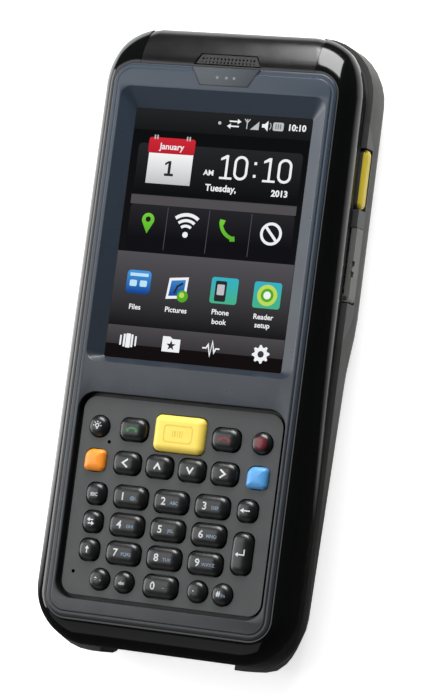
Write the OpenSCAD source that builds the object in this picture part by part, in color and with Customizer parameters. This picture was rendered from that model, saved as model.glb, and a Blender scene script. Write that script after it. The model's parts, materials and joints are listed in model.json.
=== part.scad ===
// Hand-held barcode data terminal: keypad, touch display, scanner head and battery bay.
// Millimetres. The back rests on z = 0, +Z comes out of the display, +Y points to the scanner end,
// and the origin is under the middle of the body.

/* [Body] */
// Width over the rubber bumper
body_w = 80; // [78:0.5:92]
// Length over the rubber bumper
body_l = 179; // [174:1:200]
// Thickness from the back face to the top of the face plate
body_t = 30; // [29:0.5:34]
// Corner radius of the body in plan
corner_r = 16.5; // [13:0.5:18]
// How far the front housing's flanks stand inside the bumper
front_step = 0.3; // [0:0.1:1]
// How far the front housing's scanner end stands inside the bumper
front_step_top = 1; // [0.5:0.1:2]
// How far the front housing's lower end stands inside the bumper
front_step_low = 1.5; // [0.5:0.1:2.5]

/* [Front slope] */
// Height of the ridge where the front slope starts
ridge_z = 22.5; // [21.5:0.5:24]
// Width of the slope along the flanks
slope_w = 5.5; // [4:0.1:7]
// Length of the slope at the scanner end
slope_top = 10.9; // [8:0.1:12]
// Length of the slope at the lower end
slope_low = 6.8; // [5:0.1:8]
// Loss of corner radius over the slope
slope_corner = 10; // [6:0.5:11]
// Roundness of the slope: 1 is a straight chamfer, 2 a quarter ellipse
slope_power = 1.5; // [1.2:0.1:2]

/* [Rear shell] */
// Height of the back's rounding
back_round_h = 8; // [6:0.5:10]
// Width of the back's rounding
back_round_w = 9; // [7:0.5:11]
// Thickness of the floor of the rear housing
floor_t = 2.5; // [2:0.1:3]
// Thickness of the rear housing's wall behind the bumper
rear_wall = 2; // [1.5:0.1:2.5]
// Thickness of the rubber bumper
bumper_t = 1.5; // [1:0.1:2]

/* [Parting line] */
// Height of the rear housing's upper edge
groove_z = 17; // [16.5:0.1:17.5]
// Height of the gasket that shows in the parting line
groove_h = 3; // [2.5:0.1:3.2]
// Depth of the gasket behind the front housing's flank
groove_depth = 1.5; // [1:0.1:2]
// Width of the gasket's strip
gasket_w = 1.6; // [1.2:0.1:1.6]

/* [Face plate] */
// Thickness of the face plate
face_t = 3; // [2.5:0.1:3.5]
// Height of the bevel round the face plate
rim_drop = 0.7; // [0.4:0.1:1]
// Width of the bevel round the face plate
rim_w = 1.2; // [0.8:0.1:1.5]
// Width of the front housing's edge beside the face plate
lip_w = 0.4; // [0.3:0.1:0.8]
// Corner radius of the face plate
face_r = 6; // [4:0.5:6.5]
// Thickness of the front housing's deck under the face plate
deck_t = 2; // [1.5:0.1:2.5]
// Thickness of the front housing's wall
front_wall = 3; // [2.5:0.1:3]

/* [Display] */
// Width of the picture
lcd_w = 53.6; // [50:0.1:55]
// Height of the picture
lcd_l = 71.4; // [66:0.1:73]
// Distance from the face plate's upper edge to the picture
lcd_top = 12.5; // [11:0.1:14]
// Width of the face plate's strip beside the display recess
recess_strip = 2.7; // [2:0.1:3.5]
// Length of the recess slope above the picture
recess_top = 5.7; // [4:0.1:6.5]
// Length of the recess slope below the picture
recess_low = 1.8; // [1:0.1:2.5]
// Corner radius of the recess
recess_r = 3; // [2:0.5:4]
// Margin of the touch glass round the picture
glass_margin = 3.6; // [2.5:0.1:3.8]
// Thickness of the touch glass
glass_t = 1; // [0.7:0.1:1.3]
// Thickness of the display module
lcd_t = 3.2; // [3:0.1:3.4]

/* [Keypad] */
// Distance from the display recess to the keypad opening
display_gap = 8.7; // [7:0.1:11]
// Distance from the face plate's lower edge to the keypad opening
keypad_low = 5.4; // [4:0.1:7]
// Width of the face plate's strip beside the keypad opening
keypad_strip = 2.55; // [2:0.05:3]
// Corner radius of the keypad opening
keypad_r = 5; // [3:0.5:6]
// Width of the dark gap round the keypad plate
keypad_gap = 1.1; // [0.6:0.1:1.4]
// Depth of the keypad plate below the face plate's top
keypad_sink = 1.7; // [1.2:0.1:2]
// Thickness of the keypad plate's hidden flange
keypad_flange_t = 1.1; // [0.9:0.1:1.3]
// Width of the keypad plate's hidden flange
keypad_flange_w = 2.2; // [1.8:0.1:2.4]
// Distance from the keypad plate's upper edge to the first row of keys
keys_top = 5.2; // [4:0.1:6]
// Distance from the keypad plate's lower edge to the last row of keys
keys_low = 1.8; // [1.4:0.1:3]

/* [Keys] */
// Height of the digit and arrow keys
key_l = 6.4; // [5.5:0.1:6.6]
// Corner radius of the keys
key_r = 2.2; // [1:0.1:2.6]
// Width of the digit keys
digit_key_w = 10.4; // [9.5:0.1:10.8]
// Width of the arrow keys
arrow_key_w = 8.2; // [7:0.1:8.6]
// Width of the call keys
call_key_w = 8.4; // [7:0.1:9]
// Width and height of the two colour keys
colour_key_w = 6.2; // [5.5:0.1:6.6]
// Width of the side keys
side_key_w = 6; // [5.4:0.1:6.4]
// Diameter of the backlight and power keys
round_key_d = 6; // [5:0.1:6.4]
// Diameter of the keys beside the zero
foot_key_d = 6; // [5:0.1:6.4]
// Width of the scan key
scan_key_w = 15.2; // [13:0.1:16]
// Height of the scan key
scan_key_l = 10.3; // [9:0.1:11]
// Corner radius of the scan key
scan_key_r = 1.6; // [1:0.1:3]
// Height of the enter key
enter_key_l = 11.7; // [10:0.1:13]
// How far the middle of a key stands above the face plate
key_rise = 0.3; // [0:0.1:1]
// Radius of the domed key tops
key_dome_r = 20; // [15:1:40]
// Travel of a key
key_travel = 0.8; // [0.5:0.1:1]
// Gap round a key in the keypad plate
key_clearance = 0.25; // [0.15:0.05:0.3]
// Width of the flange that keeps a key under the plate
key_flange_w = 0.55; // [0.4:0.05:0.6]
// Thickness of that flange
key_flange_t = 0.7; // [0.5:0.1:0.9]
// Diameter of the metal dome under a key
dome_d = 4; // [3:0.1:4.6]
// Height of a pressed dome
dome_h = 0.35; // [0.2:0.05:0.4]

/* [Scanner end] */
// Width of the top cap on the front slope
cap_w = 53; // [48:0.5:56]
// Width of the top cap's end wall
cap_wall_w = 46.4; // [43:0.2:46.4]
// Thickness of the top cap on the slope
cap_t = 2; // [1.5:0.1:2.2]
// Thickness of the top cap's end wall
cap_wall_t = 2.8; // [2.4:0.1:3]
// Height of the lower edge of the top cap's end wall
cap_wall_z = 5; // [4:0.1:6]
// Width of the scanner window
window_w = 30; // [26:0.5:34]
// Height of the scanner window
window_h = 8; // [7:0.1:8.5]
// Thickness of the scanner window
window_t = 1.5; // [1:0.1:2]
// Width of the scan engine
engine_w = 28; // [20:0.5:32]
// Depth of the scan engine
engine_l = 14; // [12:0.5:16]
// Height of the scan engine
engine_h = 9.8; // [8:0.1:10]
// Width of the earpiece grille at the face plate
grille_w = 20; // [16:0.5:22]
// Width of the earpiece grille at its upper edge
grille_top_w = 17; // [14:0.5:18]
// Length of the earpiece grille
grille_l = 3.4; // [3:0.1:3.6]
// Diameter of a hole in the grille
grille_hole_d = 0.6; // [0.4:0.05:0.7]
// Spacing of the holes in the grille
grille_pitch = 1.1; // [1:0.05:1.4]
// Width of the indicator window at its upper edge
indicator_w = 21; // [18:0.5:24]
// Width of the indicator window at its lower edge
indicator_low_w = 15; // [12:0.5:17]
// Height of the indicator window
indicator_l = 4; // [3:0.1:4.4]
// Thickness of the indicator window
indicator_t = 0.8; // [0.6:0.1:1]

/* [Side controls] */
// Height of the lower edge of the side band that holds the triggers
band_z = 10.6; // [10:0.1:11]
// Lower end of the side band
band_low_y = 3; // [0:0.5:6]
// Upper end of the side band
band_high_y = 67.5; // [64:0.5:68]
// Length over which the side band tapers at either end
band_taper = 8; // [6:0.5:10]
// Length of a trigger
trigger_l = 17; // [15:0.5:18]
// Height of a trigger and of the port cover
trigger_h = 5; // [4.6:0.1:5]
// Place of the triggers along the body
trigger_y = 50.6; // [49:0.1:52]
// How far a trigger stands out of the side
trigger_rise = 0.8; // [0.5:0.1:1]
// Travel of a trigger
trigger_travel = 1; // [0.8:0.1:1.1]
// Length of the port cover
port_l = 21; // [19:0.2:24]
// Place of the port cover along the body
port_y = 26.2; // [25.5:0.1:27.5]
// Thickness of the port cover
port_t = 1.7; // [1.5:0.1:1.8]
// Radius of the port cover's hinge pin
pin_r = 0.55; // [0.5:0.05:0.6]

/* [Battery] */
// Width of the battery pack
battery_w = 56; // [50:0.5:57]
// Length of the battery pack
battery_l = 72; // [60:0.5:74]
// Height of the battery pack
battery_h = 10.6; // [9:0.1:11]
// Distance from the lower screws to the battery bay
battery_low = 10.2; // [9.8:0.1:12]
// Thickness of the walls round the battery bay
bay_wall = 1.2; // [1:0.1:1.4]
// Thickness of the battery cover
cover_t = 1.9; // [1.6:0.1:2]
// Depth of the battery cover behind the back face
cover_sink = 0.4; // [0.3:0.1:0.6]
// How far the battery cover reaches past the bay on each side
cover_margin = 1.6; // [1.4:0.1:2]
// How far the battery cover reaches past the bay at the latch
cover_latch_margin = 4; // [3.5:0.1:5]
// Radius of the pins in the battery cover's hinge
cover_pin_r = 0.9; // [0.8:0.05:1]
// Travel of the battery latch
latch_travel = 2.5; // [2:0.1:3]
// Width of the battery latch
latch_w = 14; // [12:0.5:18]
// Length of the battery latch
latch_l = 6.5; // [6:0.1:8]
// Width of the latch's tongue
tongue_w = 8; // [6:0.5:10]
// Thickness of the latch's tongue at its root
tongue_t = 0.8; // [0.6:0.1:0.9]
// Length of the bevel on the battery cover that the tongue rides over
cover_bevel_l = 4; // [3.5:0.1:5]
// Height of that bevel
cover_bevel_h = 1.1; // [1:0.1:1.2]

/* [Inside] */
// Thickness of the keypad board and of the main board
board_t = 1; // [0.8:0.1:1.2]
// Height of the midframe
midframe_t = 1.8; // [1.5:0.1:2]
// Gap between the midframe and the main board
standoff_h = 0.8; // [0.5:0.1:1]
// Width of the main board
main_board_w = 64; // [60:0.5:65]
// Diameter of the loudspeaker
speaker_d = 18; // [14:0.5:20]
// Height of the loudspeaker
speaker_h = 4; // [3:0.1:5]
// Place of the loudspeaker along the body
speaker_y = 42; // [40:0.5:44]
// Width of the docking connector
dock_w = 25; // [20:0.5:28]
// Height of the docking connector
dock_h = 3.4; // [3:0.1:3.8]
// Height of the middle of the docking connector
dock_z = 10.4; // [10:0.1:12]
// Radius of a housing screw's shank
screw_r = 1.25; // [1:0.05:1.5]
// Radius of a housing screw's head
screw_head_r = 2.4; // [2:0.1:2.6]
// Distance of the screws from the body's side
screw_inset_x = 16; // [15:0.5:17]
// Distance of the upper screws from the body's end
screw_inset_top = 14; // [13:0.1:14.5]
// Distance of the lower screws from the body's end
screw_inset_low = 12; // [11.5:0.1:12.2]

/* [Fits] */
// Gap between pieces that are fixed to each other
fit_gap = 0.1; // [0.05:0.05:0.15]
// Gap beside a piece that moves
run_gap = 0.2; // [0.15:0.05:0.3]
// Radial clearance of a pin in its bore
pin_gap = 0.05; // [0.02:0.01:0.08]

/* [Hidden] */
$fn = 48;
corner_steps = 8; // facets of a lofted form's rounded corner
skin = 0.01;       // overlap that joins two stacked blocks
past = 1;          // how far a cut runs past the face that it opens
slope_slices = 6;

// The pieces inside follow the body's width and length: both shares are 1 at the sizes above
design_w = 80;
design_l = 179;
share_w = body_w / design_w;
share_l = body_l / design_l;
picture_w = lcd_w * share_w;
picture_l = lcd_l * share_l;
pack_w = battery_w * share_w;
pack_l = battery_l * share_l;
side_low_y = band_low_y * share_l;
side_high_y = band_high_y * share_l;
trigger_mid_y = trigger_y * share_l;
trigger_len = trigger_l * share_l;
port_mid_y = port_y * share_l;
port_len = port_l * share_l;
speaker_mid_y = speaker_y * share_l;
chip_board_w = main_board_w * share_w;
cap_hw = cap_w / 2 * share_w;
cap_wall_hw = cap_wall_w / 2 * share_w;

// Levels, from the top down
rim_z = body_t - rim_drop;
deck_z = body_t - face_t;
deck_low_z = deck_z - deck_t;
keypad_z = body_t - keypad_sink;
flange_z = deck_z - keypad_flange_t;
key_top_z = body_t + key_rise;
key_low_z = flange_z - fit_gap - key_flange_t;
dome_z = key_low_z - key_travel - pin_gap;
board_z = dome_z - dome_h;
glass_z = deck_z - glass_t;
lcd_z = glass_z - lcd_t;
midframe_z = min(lcd_z, board_z - board_t);
main_board_z = midframe_z - midframe_t - standoff_h;
groove_top_z = groove_z + groove_h;

// Outlines in plan
front_hw = body_w / 2 - front_step;
front_top_y = body_l / 2 - front_step_top;
front_low_y = -body_l / 2 + front_step_low;
face_hw = front_hw - slope_w - lip_w;
face_top_y = front_top_y - slope_top - lip_w;
face_low_y = front_low_y + slope_low + lip_w;
face_w = 2 * face_hw;
cavity_hw = front_hw - front_wall;
rear_cavity_hw = body_w / 2 - bumper_t - rear_wall;
cavity_low_y = front_low_y + front_wall;
gasket_top_gap = 0.2;
cavity_top_y = front_top_y - cap_wall_t - gasket_w - 1 - 2 * fit_gap;
cavity_r = corner_r - front_wall - front_step;
low_cavity_inset = 3.5;
low_cavity_z = back_round_h - 2;
back_flat_inset = back_round_w / 1.4;  // where the rounding meets the flat back
back_rubber_t = bumper_t + 0.6;
foot_notch_margin = 8;
wall_notch_margin = 0.3;

// Display
lcd_margin = 1;
lcd_top_y = face_top_y - lcd_top;
lcd_y = lcd_top_y - picture_l / 2;
glass_w = picture_w + 2 * glass_margin;
glass_l = picture_l + 2 * glass_margin;
recess_w = face_w - 2 * recess_strip;
recess_top_y = lcd_top_y + recess_top;
recess_low_y = lcd_top_y - picture_l - recess_low;

// Keypad
keypad_w = face_w - 2 * keypad_strip;
keypad_low_y = face_low_y + keypad_low;
keypad_l = recess_low_y - display_gap - keypad_low_y;
keypad_y = keypad_low_y + keypad_l / 2;
design_keypad_l = 58.2;
row_share = keypad_l / design_keypad_l;
round_share = min(share_w, row_share);
plate_w = keypad_w - 2 * keypad_gap;
plate_l = keypad_l - 2 * keypad_gap;
flange_w = plate_w + 2 * keypad_flange_w;
flange_l = plate_l + 2 * keypad_flange_w;
board_inset = 0.5;
board_corner_r = 1;

// Light sensor and microphone: holes in the keypad plate
pinhole_r = 0.5;
sensor_x = -21.2;
sensor_rise = 15.5;
microphone_x = -27;
microphone_drop = 21.6;
PINHOLES = [
    [sensor_x * share_w, keypad_y + sensor_rise * row_share],
    [microphone_x * share_w, keypad_y - microphone_drop * row_share],
];

// Keys: names, widths, side margin and the share of the outer gaps, row by row
side_margin = 2.5 * share_w;
digit_margin = 4.3 * share_w;
foot_margin = 8.6 * share_w;
digit_w = digit_key_w * share_w;
arrow_w = arrow_key_w * share_w;
call_w = call_key_w * share_w;
colour_w = colour_key_w * share_w;
side_w = side_key_w * share_w;
round_d = round_key_d * round_share;
foot_d = foot_key_d * round_share;
digit_row = [side_w, digit_w, digit_w, digit_w, side_w];
ROWS = [
    [["key_backlight", "key_call", "key_scan", "key_end", "key_power"],
     [round_d, call_w, scan_key_w * share_w, call_w, round_d], side_margin, 1.6],
    [["key_orange", "key_left", "key_up", "key_down", "key_right", "key_blue"],
     [colour_w, arrow_w, arrow_w, arrow_w, arrow_w, colour_w], side_margin, 1.6],
    [["key_escape", "key_1", "key_2", "key_3", "key_backspace"], digit_row, digit_margin, 1.15],
    [["key_tab", "key_4", "key_5", "key_6"], digit_row, digit_margin, 1.15],
    [["key_shift", "key_7", "key_8", "key_9"], digit_row, digit_margin, 1.15],
    [["key_star", "key_alpha", "key_0", "key_point", "key_hash"],
     [foot_d, foot_d, digit_w, foot_d, foot_d], foot_margin, 0.5],
];
ROUND_KEYS = ["key_backlight", "key_power", "key_star", "key_alpha", "key_point", "key_hash"];
SMALL_KEYS = ["key_orange", "key_blue", "key_escape", "key_tab", "key_shift", "key_backspace"];

function sum_to(list, n) = n <= 0 ? 0 : list[n - 1] + sum_to(list, n - 1);
function is_in(name, list) = len([for (n = list) if (n == name) 1]) > 0;

// Gap between the inner keys of a row, which is shared out evenly
function row_unit(row) =
    (plate_w - 2 * row[2] - sum_to(row[1], len(row[1]))) / (len(row[1]) - 3 + 2 * row[3]);
function gaps_before(row, i) =
    i == 0 ? 0 : row[3] + (i - 1) + (i == len(row[1]) - 1 ? row[3] - 1 : 0);
function key_x(row, i) =
    -plate_w / 2 + row[2] + sum_to(row[1], i) + gaps_before(row, i) * row_unit(row) + row[1][i] / 2;

// The scan key's row and the arrow row stand further apart than the digit rows
keys_top_l = keys_top * row_share;
row_l = key_l * row_share;
scan_overhang = (scan_key_l - key_l) / 2 * row_share;
row_shares = [0.8, 2, 1, 1, 1];
row_gap = (plate_l - keys_top_l - keys_low * row_share - 6 * row_l - scan_overhang) / sum_to(row_shares, 5);
function row_y(i) =
    keypad_y + plate_l / 2 - keys_top_l - row_l / 2 - i * row_l
    - (i > 0 ? scan_overhang : 0) - sum_to(row_shares, i) * row_gap;

function key_height(name) =
    (name == "key_scan" ? scan_key_l : is_in(name, SMALL_KEYS) ? colour_key_w : key_l) * row_share;
function key_corner(name, w) =
    is_in(name, ROUND_KEYS) ? w / 2 : name == "key_scan" ? scan_key_r : key_r;

// Each key: name, x, y, width, height, corner radius
KEYS = concat(
    [for (j = [0 : len(ROWS) - 1], i = [0 : len(ROWS[j][0]) - 1])
        let (name = ROWS[j][0][i], w = ROWS[j][1][i])
        [name, key_x(ROWS[j], i), row_y(j), w, key_height(name), key_corner(name, w)]],
    [["key_enter", key_x(ROWS[3], 4), (row_y(3) + row_y(4)) / 2, side_w,
        enter_key_l * row_share, key_r]]
);

// Scanner end
cap_y = face_top_y + fit_gap;
cap_wall_y = front_top_y - cap_wall_t;
window_z = (groove_z + cap_wall_z) / 2;
engine_y = cavity_top_y - fit_gap - engine_l;
engine_z = window_z - engine_h / 2;
engine_lens_r = 2.5;
engine_lens_inset = 5;
engine_wall = 2;
engine_recess = 3;
engine_plinth_inset = 2;
window_sink = 0.4;
opening_margin = 1;
grille_y = cap_y + 0.3;
grille_depth = 0.3;
grille_t = cap_t - grille_depth - 0.4;  // stays inside the cap on the steeper part of the slope
grille_ledge = 0.25;
grille_edge = 0.8;
grille_tilt = atan((slope_z(grille_y) - slope_z(grille_y + grille_l)) / grille_l);
receiver_w = 15;
receiver_l = 6;
receiver_h = 2.4;
receiver_y = face_top_y - 0.5;
duct_w = 10;
duct_l = 1.5;
duct_y = cap_y + 1;

// Side controls
trigger_z = groove_z - run_gap - trigger_h;
trigger_r = 2;
trigger_flange = 1;
trigger_flange_l = trigger_len + 3;
port_low_y = port_mid_y - port_len / 2;
port_hinge_r = 1.2;
port_out = 0.15;
port_hinge_x = body_w / 2 + port_out - port_hinge_r;
port_pocket_depth = 2 * port_hinge_r - port_out + 0.3;
usb_share = 0.22;
jack_share = 0.25;
usb_y = port_mid_y + usb_share * port_len;
jack_y = port_mid_y - jack_share * port_len;
socket_depth = 6.5;
socket_foot = 3.5;
notch_w = 1.6;
notch_h = 1.4;
notch_depth = 0.6;
notch_share = 0.125;
notch_pitch = 3;
NOTCH_Y = [for (i = [0, 1]) port_mid_y - notch_share * port_len + i * notch_pitch];
socket_w = 8;
socket_h = 3;
socket_t = 0.7;
jack_r = 2.4;
jack_bore_r = 1.75;
switch_w = 6;
switch_t = 2.4;
switch_bite = 2;   // how far a switch and a socket reach over the main board
socket_bite = 1.25;
switch_x = rear_cavity_hw - run_gap - trigger_flange - trigger_travel - pin_gap - switch_t / 2;

// Screws
screw_x = body_w / 2 - screw_inset_x;
screw_low_y = -body_l / 2 + screw_inset_low;
screw_top_y = body_l / 2 - screw_inset_top;
SCREWS = [for (x = [-screw_x, screw_x], y = [screw_low_y, screw_top_y]) [x, y]];
boss_r = 2.6;
post_r = 4;
head_pocket_r = screw_head_r + 0.3;
head_pocket_h = 2.6;
head_h = 1.7;
socket_r = 1;
socket_head_depth = 0.8;
screw_top_z = deck_low_z - 1.5;

// Battery
battery_gap = 0.3;
battery_r = 1.5;
contact_l = 0.9;
contact_w = 1.2;
contact_pitch = 3;
contact_low = 3;   // from the pack's lower face
contact_high = 8;
bay_w = pack_w + 2 * battery_gap;
bay_l = pack_l + battery_gap + contact_l + pin_gap;
bay_low_y = screw_low_y + battery_low;
pack_y = bay_low_y + battery_gap + pack_l / 2;
bay_top_z = cover_sink + cover_t + battery_gap + battery_h + battery_gap;
battery_z = cover_sink + cover_t + battery_gap;
hinge_r = cover_t;
hinge_z = cover_sink + hinge_r;
hinge_y = bay_low_y - hinge_r;
cover_w = bay_w + 2 * cover_margin;
cover_top_y = bay_low_y + bay_l + cover_latch_margin;
cover_pin_l = 1.4;
cover_foot_y = hinge_y + 1.4 * hinge_r;  // the cover's full width starts clear of the housing
barrel_hw = bay_w / 2 - cover_pin_l;
seat_t = 1.6;
seat_z = cover_sink + cover_t + seat_t;
tongue_l = 1.2;
tongue_tip_t = 0.35;
latch_y = cover_top_y + run_gap + tongue_l + latch_travel;
latch_t = cover_t - 0.2;
stem_w = 4;
stem_l = 3;
head_w = 8;
head_l = 5;
head_t = 1;

// Boards, chassis, loudspeaker and dock
// Shielding cans: x, y, width and length as shares of the main board's width and the body's length
CANS = [[-0.2, 0.005, 0.34, 0.12], [0.23, 0.02, 0.34, 0.19], [0, -0.21, 0.56, 0.12]];
midframe_inset = 2;
midframe_open = 8;  // from the display's and the keypad's edges to the chassis's openings
standoff_r = 2;
standoff_inset = 12;
standoff_x = chip_board_w / 2 - 2 * standoff_r;
slot_w = 1;
slot_l = 10;
slot_pitch = 2;
dock_flange = 2;
dock_flange_t = 1.4;
dock_reach = 4;
dock_shell = 1;
dock_slot_depth = 3;

PARTS = [
    "front_housing", "face_plate", "top_cap", "earpiece_grille", "indicator_window",
    "display_glass", "lcd_module", "keypad_plate", "key_domes", "keypad_board",
    "midframe", "main_board", "side_sockets", "earpiece_speaker", "housing_gasket",
    "rear_housing", "rubber_bumper", "left_trigger", "right_trigger", "port_cover",
    "port_hinge_pin", "scan_engine", "scan_window", "loudspeaker", "dock_connector",
    "battery_pack", "battery_contacts", "battery_cover", "battery_latch", "housing_screws",
];

// Rounded rectangle of width w from y0 to y1
module outline(w, y0, y1, r) {
    translate([-w / 2 + r, y0]) square([w - 2 * r, y1 - y0]);
    translate([-w / 2, y0 + r]) square([w, y1 - y0 - 2 * r]);
    for (x = [-w / 2 + r, w / 2 - r], y = [y0 + r, y1 - r]) translate([x, y]) circle(r);
}

// Plate with that outline from z0 to z1
module slab(w, y0, y1, r, z0, z1) {
    translate([0, 0, z0]) linear_extrude(z1 - z0) outline(w, y0, y1, r);
}

// Box between two corners
module block(a, b) {
    translate(a) cube(b - a);
}

// Prism across the body, from an outline of y and z
module crosswise(w) {
    translate([-w / 2, 0, 0]) rotate([90, 0, 90]) linear_extrude(w) children();
}

// Ring of points round a slice: half width, lower y, upper y, corner radius, height
function ring(s) = [
    for (q = [0 : 3], i = [0 : corner_steps])
        let (a = 90 * (q + i / corner_steps), left = q == 1 || q == 2, low = q > 1)
        [(left ? -s[0] + s[3] : s[0] - s[3]) + s[3] * cos(a),
         (low ? s[1] + s[3] : s[2] - s[3]) + s[3] * sin(a), s[4]]
];

// Solid through a list of slices, from the lowest to the highest
module loft(slices) {
    m = 4 * (corner_steps + 1);
    n = len(slices);
    polyhedron(
        points = [for (s = slices) each ring(s)],
        faces = concat(
            [[for (j = [0 : m - 1]) j]],
            [for (i = [0 : n - 2], j = [0 : m - 1])
                let (k = (j + 1) % m) [i * m + j, (i + 1) * m + j, (i + 1) * m + k, i * m + k]],
            [[for (j = [m - 1 : -1 : 0]) (n - 1) * m + j]]
        )
    );
}

// The slice s, moved to the height z
function at_height(s, z) = [s[0], s[1], s[2], s[3], z];

// Front form: vertical flanks up to the ridge, then the rounded slope
function swell(s) = 1 - pow(1 - pow(s, slope_power), 1 / slope_power);
function slope_z(y) =
    let (share = max(0, 1 - (front_top_y - y) / slope_top))
    ridge_z + (rim_z - ridge_z) * pow(1 - pow(share, slope_power), 1 / slope_power);
function front_slice(s, inset) = [
    front_hw - slope_w * swell(s) - inset,
    front_low_y + slope_low * swell(s) + inset,
    front_top_y - slope_top * swell(s) - inset,
    max(corner_r - slope_corner * swell(s) - inset, 1),
    ridge_z + s * (rim_z - inset - ridge_z),
];
module front_form(inset = 0, reach = 0) {
    loft(concat(
        [at_height(front_slice(0, inset), groove_top_z - reach)],
        [for (i = [0 : slope_slices]) front_slice(i / slope_slices, inset)]
    ));
}

// Rear form: upright sides that round into the back face
function back_swell(s) = 1 - sqrt(1 - s * s);
function rear_slice(s, inset) = [
    body_w / 2 - back_round_w * back_swell(s) - inset,
    -body_l / 2 + back_round_w * back_swell(s) + inset,
    body_l / 2 - back_round_w * back_swell(s) - inset,
    max(corner_r - back_round_w * back_swell(s) / 2 - inset, 1),
    back_round_h - s * (back_round_h - inset),
];
module rear_form(inset = 0, reach = 0) {
    loft(concat(
        [for (s = [1, 0.93, 0.8, 0.6, 0.35, 0]) rear_slice(s, inset)],
        [at_height(rear_slice(0, inset), groove_z + reach)]
    ));
}

// Space outside the bumper's edge: side bands, lower notch, scanner end and back face
module bumper_windows(grow = 0) {
    for (side = [-1, 1])
        translate([side * body_w / 2, 0, 0]) rotate([90, 0, 90])
            translate([0, 0, -2 * bumper_t]) linear_extrude(4 * bumper_t) polygon([
                [side_low_y - grow, groove_z + past],
                [side_low_y + band_taper - grow, band_z - grow],
                [side_high_y - band_taper + grow, band_z - grow],
                [side_high_y + grow, groove_z + past],
            ]);
    slab(body_w - 2 * back_flat_inset + 2 * grow, -body_l / 2 + back_flat_inset - grow,
        body_l / 2 - back_flat_inset + grow, corner_r / 2, -past, back_rubber_t + grow);
}

module bumper_notches() {
    foot_hw = dock_w / 2 + foot_notch_margin;
    wall_hw = cap_wall_hw + wall_notch_margin;
    block([-foot_hw, -body_l / 2 - past, -past], [foot_hw, -body_l / 2 + corner_r, groove_z + past]);
    block([-wall_hw, body_l / 2 - corner_r, -past], [wall_hw, body_l / 2 + past, groove_z + past]);
}

// Trapezium in plan, from a wide upper edge to a narrow lower edge
module trapezium(low_w, top_w, y0, y1, grow = 0) {
    polygon([
        [-low_w / 2 - grow, y0 - grow], [low_w / 2 + grow, y0 - grow],
        [top_w / 2 + grow, y1 + grow], [-top_w / 2 - grow, y1 + grow],
    ]);
}

// Opening of the grille, straight through the top cap
module grille_shape(grow = 0) {
    translate([0, 0, ridge_z]) linear_extrude(body_t - ridge_z)
        trapezium(grille_w, grille_top_w, grille_y, grille_y + grille_l, grow);
}

module indicator_shape(grow = 0) {
    translate([0, 0, body_t - indicator_t - grow]) linear_extrude(indicator_t + 2 * grow)
        trapezium(indicator_low_w, indicator_w, face_top_y - rim_w - indicator_l,
            face_top_y - rim_w, grow);
}

// Region that the top cap takes from the front housing
module cap_region(grow = 0) {
    block([-cap_hw - grow, cap_y - grow, groove_top_z - past],
        [cap_hw + grow, body_l / 2 + past, body_t + past]);
}

module cap_wall(grow = 0) {
    intersection() {
        slab(2 * front_hw, front_low_y, front_top_y + grow, corner_r,
            cap_wall_z - grow, ridge_z + grow);
        block([-cap_wall_hw - grow, cap_wall_y - grow, 0],
            [cap_wall_hw + grow, body_l / 2 + past, body_t]);
    }
}

module front_housing() {
    color("#101113") {
        difference() {
            front_form();
            // hollow under the deck
            slab(2 * cavity_hw, cavity_low_y, cavity_top_y, cavity_r,
                groove_top_z - past, deck_low_z);
            // pocket of the face plate, display opening and keypad opening
            slab(face_w + 2 * fit_gap, face_low_y - fit_gap, face_top_y + fit_gap, face_r + fit_gap,
                deck_z, body_t + past);
            slab(glass_w + 2 * fit_gap, lcd_y - glass_l / 2 - fit_gap, lcd_y + glass_l / 2 + fit_gap,
                recess_r / 2, deck_low_z - past, deck_z + past);
            slab(flange_w + 2 * fit_gap, keypad_y - flange_l / 2 - fit_gap,
                keypad_y + flange_l / 2 + fit_gap, keypad_r, deck_low_z - past, deck_z + past);
            // seat of the top cap
            difference() {
                cap_region(fit_gap);
                front_form(cap_t + fit_gap, 2 * past);
            }
            cap_wall(fit_gap);
            // sound duct from the earpiece to the grille
            block([-duct_w / 2, duct_y, deck_low_z - past], [duct_w / 2, duct_y + duct_l, body_t]);
        }
        for (p = SCREWS) translate([p[0], p[1], groove_z]) difference() {
            cylinder(h = deck_low_z - groove_z, r = boss_r);
            translate([0, 0, -past])
                cylinder(h = screw_top_z + fit_gap - groove_z + past, r = screw_r + pin_gap);
        }
    }
}

module face_plate() {
    color("#4a525c") difference() {
        loft([
            [face_hw, face_low_y, face_top_y, face_r, deck_z],
            [face_hw, face_low_y, face_top_y, face_r, rim_z],
            [face_hw - rim_w, face_low_y + rim_w, face_top_y - rim_w, face_r - rim_w, body_t],
        ]);
        loft([
            [picture_w / 2 + fit_gap, lcd_y - picture_l / 2 - fit_gap, lcd_y + picture_l / 2 + fit_gap,
                recess_r / 4, deck_z - skin],
            [recess_w / 2, recess_low_y, recess_top_y, recess_r, body_t + skin],
        ]);
        slab(keypad_w, keypad_y - keypad_l / 2, keypad_y + keypad_l / 2, keypad_r,
            deck_z - past, body_t + past);
        indicator_shape(fit_gap);
    }
}

module top_cap() {
    color("#17181a") difference() {
        union() {
            difference() {
                intersection() {
                    front_form();
                    cap_region(0);
                }
                front_form(cap_t, past);
                block([-cap_hw - past, cap_y - past, groove_top_z - past],
                    [cap_hw + past, cap_wall_y, groove_top_z + cap_t]);
            }
            cap_wall();
        }
        grille_shape(fit_gap);
        block([-window_w / 2, cap_wall_y - past, window_z - window_h / 2],
            [window_w / 2, body_l / 2 + past, window_z + window_h / 2]);
    }
}

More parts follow.
